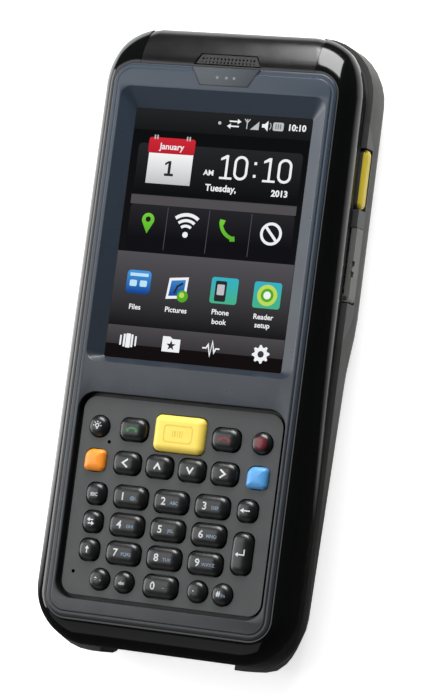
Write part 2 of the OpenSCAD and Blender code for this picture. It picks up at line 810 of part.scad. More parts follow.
module earpiece_grille() {
    columns = floor((grille_top_w / 2 - grille_edge) / grille_pitch);
    rows = floor((grille_l - 2 * grille_edge) / grille_pitch);
    color("#0b0b0c") translate([0, grille_y, slope_z(grille_y) - grille_depth - grille_t])
        rotate([-grille_tilt, 0, 0]) difference() {
            linear_extrude(grille_t) trapezium(grille_w, grille_top_w, 0, grille_l, -grille_ledge);
            for (i = [-columns : columns], j = [0 : rows])
                translate([i * grille_pitch, grille_edge + j * grille_pitch, -past])
                    cylinder(h = grille_t + 2 * past, d = grille_hole_d);
        }
}

module indicator_window() {
    color("#6c737b") indicator_shape();
}

module display_glass() {
    color("#0a0c10") slab(glass_w, lcd_y - glass_l / 2, lcd_y + glass_l / 2, recess_r / 2,
        glass_z, deck_z);
}

module lcd_module() {
    color("#b8bcc0") slab(glass_w - 2 * lcd_margin, lcd_y - glass_l / 2 + lcd_margin,
        lcd_y + glass_l / 2 - lcd_margin, board_corner_r, lcd_z, glass_z);
}

// Outline of a key, widened all round
module key_outline(k, grow) {
    if (k[5] >= k[3] / 2) translate([k[1], k[2]]) circle(k[3] / 2 + grow);
    else translate([k[1], 0])
        outline(k[3] + 2 * grow, k[2] - k[4] / 2 - grow, k[2] + k[4] / 2 + grow, k[5] + grow);
}

module keypad_plate() {
    color("#55585c") difference() {
        union() {
            slab(flange_w, keypad_y - flange_l / 2, keypad_y + flange_l / 2, keypad_r - fit_gap,
                flange_z, deck_z);
            slab(plate_w, keypad_y - plate_l / 2, keypad_y + plate_l / 2, keypad_r - keypad_gap,
                flange_z, keypad_z);
        }
        for (k = KEYS) translate([0, 0, flange_z - past])
            linear_extrude(keypad_z - flange_z + 2 * past) key_outline(k, key_clearance);
        for (p = PINHOLES) translate([p[0], p[1], flange_z - past])
            cylinder(h = keypad_z - flange_z + 2 * past, r = pinhole_r);
    }
}

// One key: domed cap and the flange that keeps it under the plate
module key(k) {
    shades = [["key_scan", "#e8c832"], ["key_orange", "#f0963c"], ["key_blue", "#4a90d0"],
        ["key_power", "#7a1c22"]];
    shade = [for (s = shades) if (s[0] == k[0]) s[1]];
    color(len(shade) > 0 ? shade[0] : "#1b1c1e") {
        intersection() {
            translate([0, 0, key_low_z]) linear_extrude(key_top_z - key_low_z) key_outline(k, 0);
            translate([k[1], k[2], key_top_z - key_dome_r]) sphere(key_dome_r, $fn = 96);
        }
        translate([0, 0, key_low_z]) linear_extrude(key_flange_t)
            key_outline(k, key_flange_w * min(1, round_share));
    }
}

module key_domes() {
    color("#c8ccd0") for (k = KEYS) translate([k[1], k[2], board_z]) cylinder(h = dome_h, d = dome_d);
}

module keypad_board() {
    color("#1f5a3a") slab(plate_w - 2 * board_inset, keypad_y - plate_l / 2 + board_inset,
        keypad_y + plate_l / 2 - board_inset, board_corner_r, board_z - board_t, board_z);
}

module midframe_opening(w, y, l, z0, z1) {
    slab(w - 2 * midframe_open, y - l / 4, y + l / 4, standoff_r, z0, z1);
}

// Chassis between the display and the main board, with a rib where the display lies higher
module midframe() {
    low_y = screw_low_y + boss_r + 1;
    top_y = screw_top_y - boss_r - 1;
    low_z = midframe_z - midframe_t;
    color("#9a9ea2") {
        difference() {
            slab(2 * (cavity_hw - midframe_inset), low_y, top_y, standoff_r, low_z, midframe_z);
            midframe_opening(glass_w, lcd_y, glass_l, low_z - past, midframe_z + past);
            midframe_opening(plate_w, keypad_y, plate_l, low_z - past, midframe_z + past);
        }
        difference() {
            slab(glass_w - 4 * lcd_margin, lcd_y - glass_l / 2 + 3 * lcd_margin,
                lcd_y + glass_l / 2 - 3 * lcd_margin, standoff_r, midframe_z - skin, max(lcd_z, midframe_z));
            midframe_opening(glass_w, lcd_y, glass_l, midframe_z - past, lcd_z + past);
        }
        for (x = [-standoff_x, standoff_x], y = [low_y + standoff_inset, top_y - standoff_inset])
            translate([x, y, main_board_z]) cylinder(h = standoff_h + skin, r = standoff_r);
    }
}

module main_board() {
    low_y = screw_low_y + post_r + 1;
    top_y = screw_top_y - post_r - 1;
    can_z = bay_top_z + bay_wall + run_gap;
    color("#1d6a42") {
        slab(chip_board_w, low_y, top_y, board_corner_r, main_board_z - board_t, main_board_z);
        for (c = CANS) block([(c[0] - c[2] / 2) * chip_board_w, (c[1] - c[3] / 2) * body_l, can_z],
            [(c[0] + c[2] / 2) * chip_board_w, (c[1] + c[3] / 2) * body_l, main_board_z - board_t]);
        for (side = [0, 1]) mirror([side, 0, 0]) translate([0, trigger_mid_y, 0])
            block([min(chip_board_w / 2 - switch_bite, switch_x - switch_t / 2), -switch_w / 2,
                trigger_z + switch_t / 4], [switch_x + switch_t / 2, switch_w / 2, main_board_z - board_t]);
    }
}

// Sockets behind the port cover, on the main board's edge
module side_sockets() {
    mouth_x = body_w / 2 - port_pocket_depth - run_gap;
    inner_x = mouth_x - socket_depth;
    foot_x = inner_x + socket_foot;
    foot_low_x = min(inner_x, chip_board_w / 2 - socket_bite);
    mid_z = trigger_z + trigger_h / 2;
    foot_z = main_board_z - board_t;
    color("#a8acb0") {
        difference() {
            union() {
                block([inner_x, usb_y - socket_w / 2, mid_z - socket_h / 2],
                    [mouth_x, usb_y + socket_w / 2, mid_z + socket_h / 2]);
                block([foot_low_x, usb_y - socket_w / 2, mid_z], [foot_x, usb_y + socket_w / 2, foot_z]);
            }
            block([foot_x, usb_y - socket_w / 2 + socket_t, mid_z - socket_h / 2 + socket_t],
                [mouth_x + past, usb_y + socket_w / 2 - socket_t, mid_z + socket_h / 2 - socket_t]);
        }
        difference() {
            union() {
                translate([inner_x, jack_y, mid_z]) rotate([0, 90, 0])
                    cylinder(h = socket_depth, r = jack_r);
                block([foot_low_x, jack_y - jack_r, mid_z], [foot_x, jack_y + jack_r, foot_z]);
            }
            translate([inner_x + 1, jack_y, mid_z]) rotate([0, 90, 0])
                cylinder(h = socket_depth, r = jack_bore_r);
        }
    }
}

module earpiece_speaker() {
    color("#55585a") block([-receiver_w / 2, receiver_y - receiver_l / 2, deck_low_z - receiver_h],
        [receiver_w / 2, receiver_y + receiver_l / 2, deck_low_z]);
}

module housing_gasket() {
    outer_hw = front_hw - groove_depth;
    low_y = front_low_y + groove_depth;
    top_y = cap_wall_y - fit_gap - gasket_top_gap;
    r = corner_r - groove_depth;
    color("#141414") difference() {
        slab(2 * outer_hw, low_y, top_y, r, groove_z, groove_top_z);
        slab(2 * (outer_hw - gasket_w), low_y + gasket_w, top_y - gasket_w, r - gasket_w,
            groove_z - past, groove_top_z + past);
    }
}

// Slot for a trigger in the side wall, open towards the parting line
module trigger_slot() {
    block([rear_cavity_hw - past, trigger_mid_y - trigger_len / 2 - run_gap, trigger_z - run_gap],
        [body_w / 2 + past, trigger_mid_y + trigger_len / 2 + run_gap, groove_z + past]);
}

module port_pocket() {
    block([body_w / 2 - port_pocket_depth, port_low_y - run_gap - fit_gap, trigger_z - run_gap],
        [body_w / 2 + past, port_low_y + port_len + run_gap, groove_z + past]);
    for (gap = [[usb_y, socket_w / 2], [jack_y, jack_r]])
        block([rear_cavity_hw - past, gap[0] - gap[1] - run_gap, trigger_z - run_gap],
            [body_w / 2, gap[0] + gap[1] + run_gap, groove_z + past]);
}

// Hinge pin's place: the port cover's or the pin's own axis
module at_port_hinge() {
    translate([port_hinge_x, port_low_y + port_hinge_r, 0]) children();
}

module rear_shell() {
    difference() {
        union() {
            rear_form(bumper_t);
            intersection() {
                rear_form();
                bumper_windows();
            }
        }
        cap_wall(fit_gap);
        slab(2 * rear_cavity_hw, cavity_low_y, cavity_top_y, cavity_r,
            low_cavity_z, groove_z + past);
        slab(2 * (rear_cavity_hw - low_cavity_inset), cavity_low_y + low_cavity_inset,
            cavity_top_y - low_cavity_inset, cavity_r - low_cavity_inset,
            floor_t, groove_z + past);
    }
}

module rear_housing() {
    color("#3c3f40") difference() {
        union() {
            rear_shell();
            // battery bay, the seat of its cover and the latch's floor
            slab(bay_w + 2 * bay_wall, bay_low_y - bay_wall, bay_low_y + bay_l + bay_wall, 2,
                floor_t / 2, bay_top_z + bay_wall);
            slab(cover_w + 2 * bay_wall, hinge_y - hinge_r - run_gap - bay_wall,
                latch_y + latch_l + latch_travel, 2, floor_t / 2, seat_z);
            slab(bay_w + 2 * bay_wall, hinge_y - hinge_r - run_gap - bay_wall, bay_low_y, 1,
                floor_t / 2, hinge_z + hinge_r + run_gap + bay_wall);
            // pedestal of the scan engine
            slab(engine_w - 2 * engine_plinth_inset, engine_y + engine_plinth_inset,
                engine_y + engine_l - engine_plinth_inset, board_corner_r, floor_t / 2, engine_z);
            for (p = SCREWS) translate([p[0], p[1], floor_t / 2])
                cylinder(h = groove_z - floor_t / 2, r = post_r);
        }
        // bay, cover recess and hinge
        slab(bay_w, bay_low_y, bay_low_y + bay_l, 1, -past, bay_top_z);
        slab(cover_w + 2 * run_gap, hinge_y + hinge_r / 2, cover_top_y + run_gap, 1,
            -past, cover_sink + cover_t + fit_gap);
        block([-barrel_hw, hinge_y - hinge_r - run_gap, -past], [barrel_hw, bay_low_y + past, hinge_z]);
        translate([-barrel_hw, hinge_y, hinge_z]) rotate([0, 90, 0])
            cylinder(h = 2 * barrel_hw, r = hinge_r + run_gap);
        translate([-bay_w / 2 - fit_gap, hinge_y, hinge_z]) rotate([0, 90, 0])
            cylinder(h = bay_w + 2 * fit_gap, r = cover_pin_r + pin_gap);
        // latch pocket and its slot
        slab(latch_w + 2 * run_gap, cover_top_y, latch_y + latch_l + run_gap, 1,
            -past, cover_sink + cover_t + fit_gap);
        block([-stem_w / 2 - run_gap, latch_y + latch_l / 2 - stem_l / 2 - latch_travel - run_gap, 0],
            [stem_w / 2 + run_gap, latch_y + latch_l / 2 + stem_l / 2 + run_gap, seat_z + past]);
        // loudspeaker slots, side controls, dock and scanner openings
        for (i = [-3 : 3]) translate([i * slot_pitch, speaker_mid_y, 0])
            block([-slot_w / 2, -slot_l / 2, -past], [slot_w / 2, slot_l / 2, floor_t + past]);
        for (side = [0, 1]) mirror([side, 0, 0]) trigger_slot();
        port_pocket();
        at_port_hinge() translate([0, 0, band_z + fit_gap]) cylinder(h = groove_z, r = pin_r + pin_gap / 2);
        block([-dock_w / 2 - fit_gap, -body_l / 2 - past, dock_z - dock_h / 2 - fit_gap],
            [dock_w / 2 + fit_gap, cavity_low_y + past, dock_z + dock_h / 2 + fit_gap]);
        block([-window_w / 2 - opening_margin, cavity_top_y - past, window_z - window_h / 2 - opening_margin],
            [window_w / 2 + opening_margin, body_l / 2, window_z + window_h / 2 + opening_margin]);
        for (p = SCREWS) translate([p[0], p[1], -past]) {
            cylinder(h = groove_z + 2 * past, r = screw_r + pin_gap);
            cylinder(h = head_pocket_h + past, r = head_pocket_r);
        }
    }
}

module rubber_bumper() {
    color("#2c2e2f") difference() {
        rear_form();
        rear_form(bumper_t - fit_gap / 2, past);
        bumper_windows(fit_gap / 2);
        bumper_notches();
    }
}

// Trigger of the right side; the left one is its mirror image
module trigger() {
    flange_x = rear_cavity_hw - run_gap;
    color("#e0c030") {
        intersection() {
            translate([0, trigger_mid_y, trigger_z]) linear_extrude(trigger_h) rotate(-90)
                outline(trigger_len, 0, body_w / 2 + trigger_rise, trigger_r);
            block([flange_x - skin, trigger_mid_y - trigger_len, 0],
                [body_w, trigger_mid_y + trigger_len, body_t]);
        }
        block([flange_x - trigger_flange, trigger_mid_y - trigger_flange_l / 2, trigger_z],
            [flange_x, trigger_mid_y + trigger_flange_l / 2, trigger_z + trigger_h]);
    }
}

module right_trigger() {
    trigger();
}

module left_trigger() {
    mirror([1, 0, 0]) trigger();
}

module port_cover() {
    outer_x = body_w / 2 + port_out;
    low_y = port_low_y + port_hinge_r;
    color("#4b4f50") difference() {
        union() {
            block([outer_x - port_t, low_y, trigger_z],
                [outer_x, port_low_y + port_len, trigger_z + trigger_h]);
            at_port_hinge() translate([0, 0, trigger_z]) cylinder(h = trigger_h, r = port_hinge_r);
        }
        at_port_hinge() translate([0, 0, trigger_z - past])
            cylinder(h = trigger_h + 2 * past, r = pin_r + pin_gap);
        for (y = NOTCH_Y)
            block([outer_x - notch_depth, y - notch_w / 2, trigger_z + trigger_h - notch_h],
                [outer_x + past, y + notch_w / 2, trigger_z + trigger_h + past]);
    }
}

module port_hinge_pin() {
    color("#b0b4b8") at_port_hinge() translate([0, 0, band_z + fit_gap])
        cylinder(h = groove_z - band_z - fit_gap, r = pin_r);
}

module scan_engine() {
    color("#3a3d40") difference() {
        block([-engine_w / 2, engine_y, engine_z], [engine_w / 2, engine_y + engine_l, engine_z + engine_h]);
        block([-engine_w / 2 + engine_wall, engine_y + engine_l - engine_recess, window_z - engine_recess],
            [engine_w / 2 - 2 * engine_lens_inset + 1, engine_y + engine_l + past, window_z + engine_recess]);
        translate([engine_w / 2 - engine_lens_inset, engine_y + engine_l - engine_recess, window_z])
            rotate([-90, 0, 0]) cylinder(h = engine_recess + past, r = engine_lens_r);
    }
}

module scan_window() {
    top_y = front_top_y - window_sink;
    color("#5a0f14") block(
        [-window_w / 2 + pin_gap, top_y - window_t, window_z - window_h / 2 + pin_gap],
        [window_w / 2 - pin_gap, top_y, window_z + window_h / 2 - pin_gap]);
}

module loudspeaker() {
    color("#2a2b2c") translate([0, speaker_mid_y, floor_t]) cylinder(h = speaker_h, d = speaker_d);
}

module dock_connector() {
    mouth_y = -body_l / 2 + bumper_t + window_sink;
    hw = dock_w / 2;
    hh = dock_h / 2;
    color("#1a1a1a") difference() {
        union() {
            block([-hw, mouth_y, dock_z - hh], [hw, cavity_low_y + dock_reach, dock_z + hh]);
            block([-hw - dock_flange, cavity_low_y, dock_z - hh - dock_shell],
                [hw + dock_flange, cavity_low_y + dock_flange_t, dock_z + hh + dock_shell]);
        }
        block([-hw + dock_shell, mouth_y - past, dock_z - hh + dock_shell],
            [hw - dock_shell, mouth_y + dock_slot_depth, dock_z + hh - dock_shell]);
    }
}

module battery_pack() {
    color("#28292b") slab(pack_w, pack_y - pack_l / 2, pack_y + pack_l / 2, battery_r,
        battery_z, battery_z + battery_h);
}

module battery_contacts() {
    color("#d8b45a") for (i = [-1.5 : 1.5]) translate([i * contact_pitch, 0, battery_z])
        block([-contact_w / 2, pack_y + pack_l / 2 + pin_gap, contact_low],
            [contact_w / 2, bay_low_y + bay_l, contact_high]);
}

module battery_cover() {
    plate_z = cover_sink + cover_t;
    color("#3a3d3e") difference() {
        union() {
            slab(cover_w, cover_foot_y, cover_top_y, 1, cover_sink, plate_z);
            block([run_gap - barrel_hw, hinge_y, cover_sink],
                [barrel_hw - run_gap, cover_foot_y + 1, plate_z]);
            translate([run_gap - barrel_hw, hinge_y, hinge_z]) rotate([0, 90, 0])
                cylinder(h = 2 * (barrel_hw - run_gap), r = hinge_r);
            translate([-bay_w / 2, hinge_y, hinge_z]) rotate([0, 90, 0])
                cylinder(h = bay_w, r = cover_pin_r);
        }
        // bevel that the latch's tongue rides over
        crosswise(cover_w + 2 * past) polygon([
            [cover_top_y - cover_bevel_l * (1 + past), cover_sink - cover_bevel_h * past],
            [cover_top_y + cover_bevel_l * past, cover_sink + cover_bevel_h * (1 + past)],
            [cover_top_y + cover_bevel_l * past, cover_sink - cover_bevel_h * past],
        ]);
    }
}

module battery_latch() {
    mid_y = latch_y + latch_l / 2;
    color("#c8b030") {
        slab(latch_w, latch_y, latch_y + latch_l, 1, cover_sink, cover_sink + latch_t);
        crosswise(tongue_w) polygon([
            [cover_top_y + run_gap, cover_sink], [mid_y, cover_sink], [mid_y, cover_sink + tongue_t],
            [latch_y, cover_sink + tongue_t], [cover_top_y + run_gap, cover_sink + tongue_tip_t],
        ]);
        block([-stem_w / 2, mid_y - stem_l / 2, cover_sink + head_t],
            [stem_w / 2, mid_y + stem_l / 2, seat_z + fit_gap + skin]);
        block([-head_w / 2, mid_y - head_l / 2, seat_z + fit_gap],
            [head_w / 2, mid_y + head_l / 2, seat_z + fit_gap + head_t]);
    }
}

module housing_screws() {
    color("#8a8e92") for (p = SCREWS) translate([p[0], p[1], 0]) difference() {
        union() {
            translate([0, 0, head_pocket_h - head_h]) cylinder(h = head_h, r = screw_head_r);
            translate([0, 0, head_pocket_h - skin])
                cylinder(h = screw_top_z - head_pocket_h, r = screw_r);
        }
        translate([0, 0, head_pocket_h - head_h - past])
            cylinder(h = past + socket_head_depth, r = socket_r, $fn = 6);
    }
}

front_housing();
face_plate();
top_cap();
earpiece_grille();
indicator_window();
display_glass();
lcd_module();
keypad_plate();
key_domes();
keypad_board();
midframe();
main_board();
side_sockets();
earpiece_speaker();
housing_gasket();
rear_housing();
rubber_bumper();
left_trigger();
right_trigger();
port_cover();
port_hinge_pin();
scan_engine();
scan_window();
loudspeaker();
dock_connector();
battery_pack();
battery_contacts();
battery_cover();
battery_latch();
housing_screws();
for (k = KEYS) key(k);
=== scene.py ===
"""Looks of a hand-held data terminal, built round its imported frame.

Lengths in the classes are millimetres, apart from those of the studio. Finished meshes are in metres.
"""
import json
import logging
import math
from abc import ABC, abstractmethod
from collections.abc import Callable, Iterable, Sequence
from dataclasses import dataclass, field
from enum import Enum
from functools import partial

import bmesh
import bpy
from mathutils import Matrix, Vector
from mathutils.geometry import tessellate_polygon


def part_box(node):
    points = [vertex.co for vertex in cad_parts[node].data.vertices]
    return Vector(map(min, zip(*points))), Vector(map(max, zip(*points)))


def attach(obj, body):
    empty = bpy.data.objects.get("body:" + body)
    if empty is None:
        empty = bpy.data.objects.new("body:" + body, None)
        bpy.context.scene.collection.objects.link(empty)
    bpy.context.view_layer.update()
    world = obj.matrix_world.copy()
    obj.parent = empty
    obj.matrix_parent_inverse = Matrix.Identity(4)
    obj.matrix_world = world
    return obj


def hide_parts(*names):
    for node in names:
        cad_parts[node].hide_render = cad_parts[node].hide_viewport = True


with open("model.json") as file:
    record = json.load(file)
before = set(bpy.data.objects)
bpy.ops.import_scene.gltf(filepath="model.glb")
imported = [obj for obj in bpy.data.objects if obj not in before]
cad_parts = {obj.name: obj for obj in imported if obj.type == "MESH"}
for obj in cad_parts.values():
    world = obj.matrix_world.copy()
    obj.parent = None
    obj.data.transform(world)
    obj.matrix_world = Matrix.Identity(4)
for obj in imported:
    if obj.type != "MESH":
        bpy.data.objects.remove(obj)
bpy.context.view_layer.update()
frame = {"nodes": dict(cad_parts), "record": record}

MM = 0.001
ROOT = "root"
LOOK = "look_"
SHARP = 32.0
log = logging.getLogger("terminal")

Colour = tuple[float, float, float]
Place = tuple[float, float, float]
Flat = tuple[float, float]
Profile = tuple[Flat, ...]
Height = Callable[[float, float], float]
Ring = Sequence[bmesh.types.BMVert]
Socket = bpy.types.NodeSocket
Inputs = dict[str | int, object]


# ---------------------------------------------------------------- measures

def srgb(red: int, green: int, blue: int) -> Colour:
    """Turns a colour of 0 to 255 levels into the linear one that shaders use.

    Args:
        red: Level of red.
        green: Level of green.
        blue: Level of blue.

    Returns:
        The linear colour.
    """
    def linear(level: int) -> float:
        """One channel, by the sRGB curve."""
        share = level / 255
        return share / 12.92 if share <= 0.04045 else ((share + 0.055) / 1.055) ** 2.4
    return (linear(red), linear(green), linear(blue))


def clamped(share: float) -> float:
    """The share, kept between 0 and 1."""
    return min(max(share, 0.0), 1.0)


def eased(share: float) -> float:
    """A smooth run from 0 to 1 over shares from 0 to 1."""
    t = clamped(share)
    return t * t * (3 - 2 * t)


def shoulder(share: float, power: float) -> float:
    """Height of a rounded shoulder, from 0 at its edge to 1 at its top."""
    return (1 - (1 - share) ** power) ** (1 / power)


def closing_in(reach: float, count: int) -> list[float]:
    """Distances inwards from an edge, closest together at the edge and ending at the reach."""
    return [reach * (1 - math.cos(math.pi / 2 * i / count)) for i in range(count + 1)]


def polar(x: float, y: float, r: float, angle: float) -> Flat:
    """The point at a distance and an angle, in degrees, from a place."""
    return (x + r * math.cos(math.radians(angle)), y + r * math.sin(math.radians(angle)))


def node_box(node: str) -> tuple[Vector, Vector]:
    """Lowest and highest corner of a node at rest, in millimetres."""
    low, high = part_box(node)
    return low / MM, high / MM


# ---------------------------------------------------------------- nodes

class Nodes:
    """A node tree under construction."""

    def __init__(self, tree: bpy.types.NodeTree) -> None:
        """Starts from a tree."""
        self.tree = tree

    def add(self, kind: str, inputs: Inputs | None = None, **settings: str) -> bpy.types.Node:
        """Adds a node.

        Args:
            kind: The node's type.
            inputs: What its inputs get, by name or number: a socket to link or a value to set.
            settings: The node's own settings, such as its operation.

        Returns:
            The node.
        """
        node = self.tree.nodes.new(kind)
        for name, setting in settings.items():
            setattr(node, name, setting)
        self.feed(node, inputs or {})
        return node

    def feed(self, node: bpy.types.Node, inputs: Inputs) -> None:
        """Links or sets inputs of a node.

        Args:
            node: The node.
            inputs: What its inputs get, by name or number.
        """
        for name, value in inputs.items():
            if isinstance(value, Socket):
                self.tree.links.new(value, node.inputs[name])
            else:
                node.inputs[name].default_value = value

    def maths(self, operation: str, first: Socket, second: Socket | float) -> Socket:
        """The result of an operation on two numbers."""
        return self.add("ShaderNodeMath", {0: first, 1: second}, operation=operation).outputs[0]


class Palette(Nodes):
    """The nodes of a finish: its shader, the place on the piece, noises and blends.

    The colour sockets of a Mix node are known by their numbers.
    """

    mix_a = 6
    mix_b = 7
    mix_result = 2

    def __init__(self, material: bpy.types.Material) -> None:
        """Starts from the tree of a new material.

        Args:
            material: The material.
        """
        material.use_nodes = True
        super().__init__(material.node_tree)
        self.shader = self.tree.nodes["Principled BSDF"]
        self.place = self.add("ShaderNodeTexCoord").outputs["Object"]

    def noise(self, size: float, detail: float) -> Socket:
        """A noise with spots of a size in millimetres and some octaves of finer detail."""
        inputs = {"Vector": self.place, "Scale": 1 / (size * MM), "Detail": detail}
        return self.add("ShaderNodeTexNoise", inputs).outputs["Fac"]

    def blend(self, share: Socket, low: Socket | Colour, high: Socket | Colour) -> Socket:
        """Mixes two colours.

        Args:
            share: Share of the second colour.
            low: The first colour.
            high: The second colour.

        Returns:
            The socket with the mixed colour.
        """
        low, high = (tone if isinstance(tone, Socket) else (*tone, 1) for tone in (low, high))
        inputs = {"Factor": share, self.mix_a: low, self.mix_b: high}
        return self.add("ShaderNodeMix", inputs, data_type="RGBA").outputs[self.mix_result]

    def along(self, low_y: float, high_y: float) -> Socket:
        """The share of the way from one y to another.

        Args:
            low_y: Where the share is 0.
            high_y: Where the share is 1.

        Returns:
            The socket with the share.
        """
        y = self.add("ShaderNodeSeparateXYZ", {"Vector": self.place}).outputs["Y"]
        inputs = {"Value": y, "From Min": low_y * MM, "From Max": high_y * MM}
        return self.add("ShaderNodeMapRange", inputs).outputs["Result"]


# ---------------------------------------------------------------- finishes

@dataclass(frozen=True)
class Look(ABC):
    """A material that is made once, on its first use."""

    name: str

    def build(self) -> bpy.types.Material:
        """Makes the material, if it isn't there yet.

        Returns:
            The material.
        """
        label = LOOK + self.name
        found = bpy.data.materials.get(label)
        if found:
            return found
        material = bpy.data.materials.new(label)
        self.paint(Palette(material))
        return material

    @abstractmethod
    def paint(self, nodes: Palette) -> None:
        """Sets the shader."""


@dataclass(frozen=True)
class Finish(Look):
    """One surface finish: colour, gloss, fine grain and slow mottling, all from Object coordinates.

    mottle_size and grain_size are the sizes of their spots. A second colour is painted shade, faded to at
    the lower end.
    """

    colour: Colour
    roughness: float = 0.5
    metallic: float = 0.0
    coat: float = 0.0
    coat_roughness: float = 0.05
    grain: float = 0.0
    grain_size: float = 0.3
    grain_detail: float = 2.0
    mottle: float = 0.06
    mottle_size: float = 14.0
    mottle_detail: float = 3.0
    smudge: float = 0.08
    smudges_per_mottle: float = 3.0
    smudge_detail: float = 5.0
    least_roughness: float = 0.02
    specular: float = 0.5
    painted_shade_colour: Colour | None = None
    fade_y: Flat = (-60.0, 75.0)

    def paint(self, nodes: Palette) -> None:
        """Sets the shader: mottled colour with any painted shade at the lower end, smudged gloss and fine
        grain.

        Args:
            nodes: The material's nodes.
        """
        slow = nodes.noise(self.mottle_size, self.mottle_detail)
        tone = self._mottled(nodes, slow, self.colour)
        # Painted shade: the colour fades to a darker one towards the lower end.
        if self.painted_shade_colour:
            tone = nodes.blend(nodes.along(*self.fade_y), self._mottled(nodes, slow, self.painted_shade_colour), tone)
        smudged = nodes.add("ShaderNodeMapRange", {
            "Value": nodes.noise(self.mottle_size / self.smudges_per_mottle, self.smudge_detail),
            "To Min": max(self.least_roughness, self.roughness - self.smudge),
            "To Max": min(1.0, self.roughness + self.smudge),
        })
        nodes.feed(nodes.shader, {
            "Base Color": tone,
            "Roughness": smudged.outputs["Result"],
            "Metallic": self.metallic,
            "Specular IOR Level": self.specular,
            "Coat Weight": self.coat,
            "Coat Roughness": self.coat_roughness,
        })
        if self.grain:
            fine = nodes.noise(self.grain_size, self.grain_detail)
            inputs = {"Height": fine, "Distance": self.grain * MM, "Strength": 1.0}
            nodes.feed(nodes.shader, {"Normal": nodes.add("ShaderNodeBump", inputs).outputs["Normal"]})

    def _mottled(self, nodes: Palette, slow: Socket, colour: Colour) -> Socket:
        """A colour that wavers a little with the slow noise."""
        low, high = ([min(1, c * (1 + sway)) for c in colour] for sway in (-self.mottle, self.mottle))
        return nodes.blend(slow, low, high)


@dataclass(frozen=True)
class Glow(Look):
    """Lit colour of the display's picture, running from a lower to an upper shade along Y."""

    upper: Colour
    lower: Colour | None = None
    y_low: float = 0.0
    y_high: float = 1.0
    unlit: Colour = (0.001, 0.001, 0.001)
    roughness: float = 0.16
    specular: float = 0.01

    def paint(self, nodes: Palette) -> None:
        """Sets the shader: a dark surface that shines in the picture's colour.

        Args:
            nodes: The material's nodes.
        """
        rise = nodes.along(self.y_low, self.y_high)
        nodes.feed(nodes.shader, {
            "Base Color": (*self.unlit, 1),
            "Roughness": self.roughness,
            "Specular IOR Level": self.specular,
            "Emission Strength": 1.0,
            "Emission Color": nodes.blend(rise, self.lower or self.upper, self.upper),
        })


GLOSS_BLACK = Finish("gloss_black", (0.003, 0.0032, 0.0034), 0.11, mottle=0.1, smudge=0.02)
CAP_BLACK = Finish("cap_black", (0.006, 0.006, 0.0065), 0.2, mottle=0.1, smudge=0.04)
# Painted light: the slate is lighter and bluer at the upper end, a painted sheen, and darker at the lower
# end, painted shade.
SLATE = Finish("slate_plastic", (0.026, 0.04, 0.061), 0.3, mottle=0.05, painted_shade_colour=(0.021, 0.024, 0.028))
PLATE_GREY = Finish("plate_grey", (0.041, 0.045, 0.046), 0.34, grain=0.006, grain_size=0.28, mottle=0.05)
SMOKE = Finish("smoke_window", (0.04, 0.05, 0.062), 0.3, mottle=0.04)
# Black of the grille and of the window's joint; also painted shade in the gaps round the keypad and keys.
DEEP_BLACK = Finish("grille_black", (0.006, 0.006, 0.0065), 0.45)
GLASS_BLACK = Finish("display_glass", (0.006, 0.0065, 0.008), 0.12, smudge=0.02, specular=0.1)
BARE_METAL = Finish("bare_metal", (0.55, 0.56, 0.57), 0.35, 1.0, grain=0.004, grain_size=0.4)
BOARD = Finish("circuit_board", (0.02, 0.12, 0.065), 0.4, grain=0.006, grain_size=0.5, mottle=0.2)
CAST = Finish("cast_frame", (0.42, 0.43, 0.44), 0.5, 0.9, grain=0.01, grain_size=0.5)
SEAL = Finish("seal_rubber", (0.004, 0.004, 0.004), 0.8, grain=0.01, grain_size=0.5)
SHELL_GREY = Finish("shell_grey", (0.052, 0.055, 0.053), 0.56, grain=0.016, grain_size=0.3, mottle=0.08)
BUMPER = Finish("bumper_rubber", (0.04, 0.042, 0.038), 0.62, grain=0.012, grain_size=0.45, mottle=0.1)
YELLOW = Finish("trigger_yellow", srgb(214, 190, 44), 0.44, grain=0.006, grain_size=0.4, mottle=0.04)
PORT = Finish("port_rubber", (0.15, 0.155, 0.145), 0.55, grain=0.012, grain_size=0.35, mottle=0.08)
RED_WINDOW = Finish("scan_window", (0.06, 0.003, 0.006), 0.1, coat=0.6)
BATTERY = Finish("battery_case", (0.02, 0.02, 0.022), 0.5, grain=0.008)
GOLD = Finish("contact_gold", (0.75, 0.5, 0.2), 0.3, 1.0, mottle=0.1)
LATCH = Finish("latch_yellow", srgb(222, 190, 50), 0.45, grain=0.006, mottle=0.05)
SCREW = Finish("screw_steel", (0.3, 0.3, 0.31), 0.35, 1.0, grain=0.004, grain_size=0.2, mottle=0.2)
KEY_BLACK = Finish("key_black", (0.007, 0.0074, 0.008), 0.32, coat=0.3, coat_roughness=0.24, mottle=0.08)
KEY_YELLOW = Finish("key_yellow", srgb(243, 214, 92), 0.42, coat=0.1, coat_roughness=0.3, mottle=0.02)
KEY_ORANGE = Finish("key_orange", srgb(250, 148, 38), 0.36, coat=0.2, coat_roughness=0.3, mottle=0.03)
KEY_BLUE = Finish("key_blue", srgb(84, 154, 216), 0.36, coat=0.2, coat_roughness=0.3, mottle=0.03)
KEY_RED = Finish("key_red", (0.11, 0.006, 0.014), 0.3, coat=0.3, coat_roughness=0.2, mottle=0.05)
SLOT_FINISHES = {
    finish.name: finish for finish in (
        GLOSS_BLACK, SLATE, PLATE_GREY, SMOKE, DEEP_BLACK, GLASS_BLACK, BARE_METAL, BOARD, CAST, SEAL,
        SHELL_GREY, BUMPER, YELLOW, PORT, RED_WINDOW, BATTERY, GOLD, LATCH, SCREW, KEY_BLACK,
        KEY_YELLOW, KEY_ORANGE, KEY_BLUE, KEY_RED,
    )
}

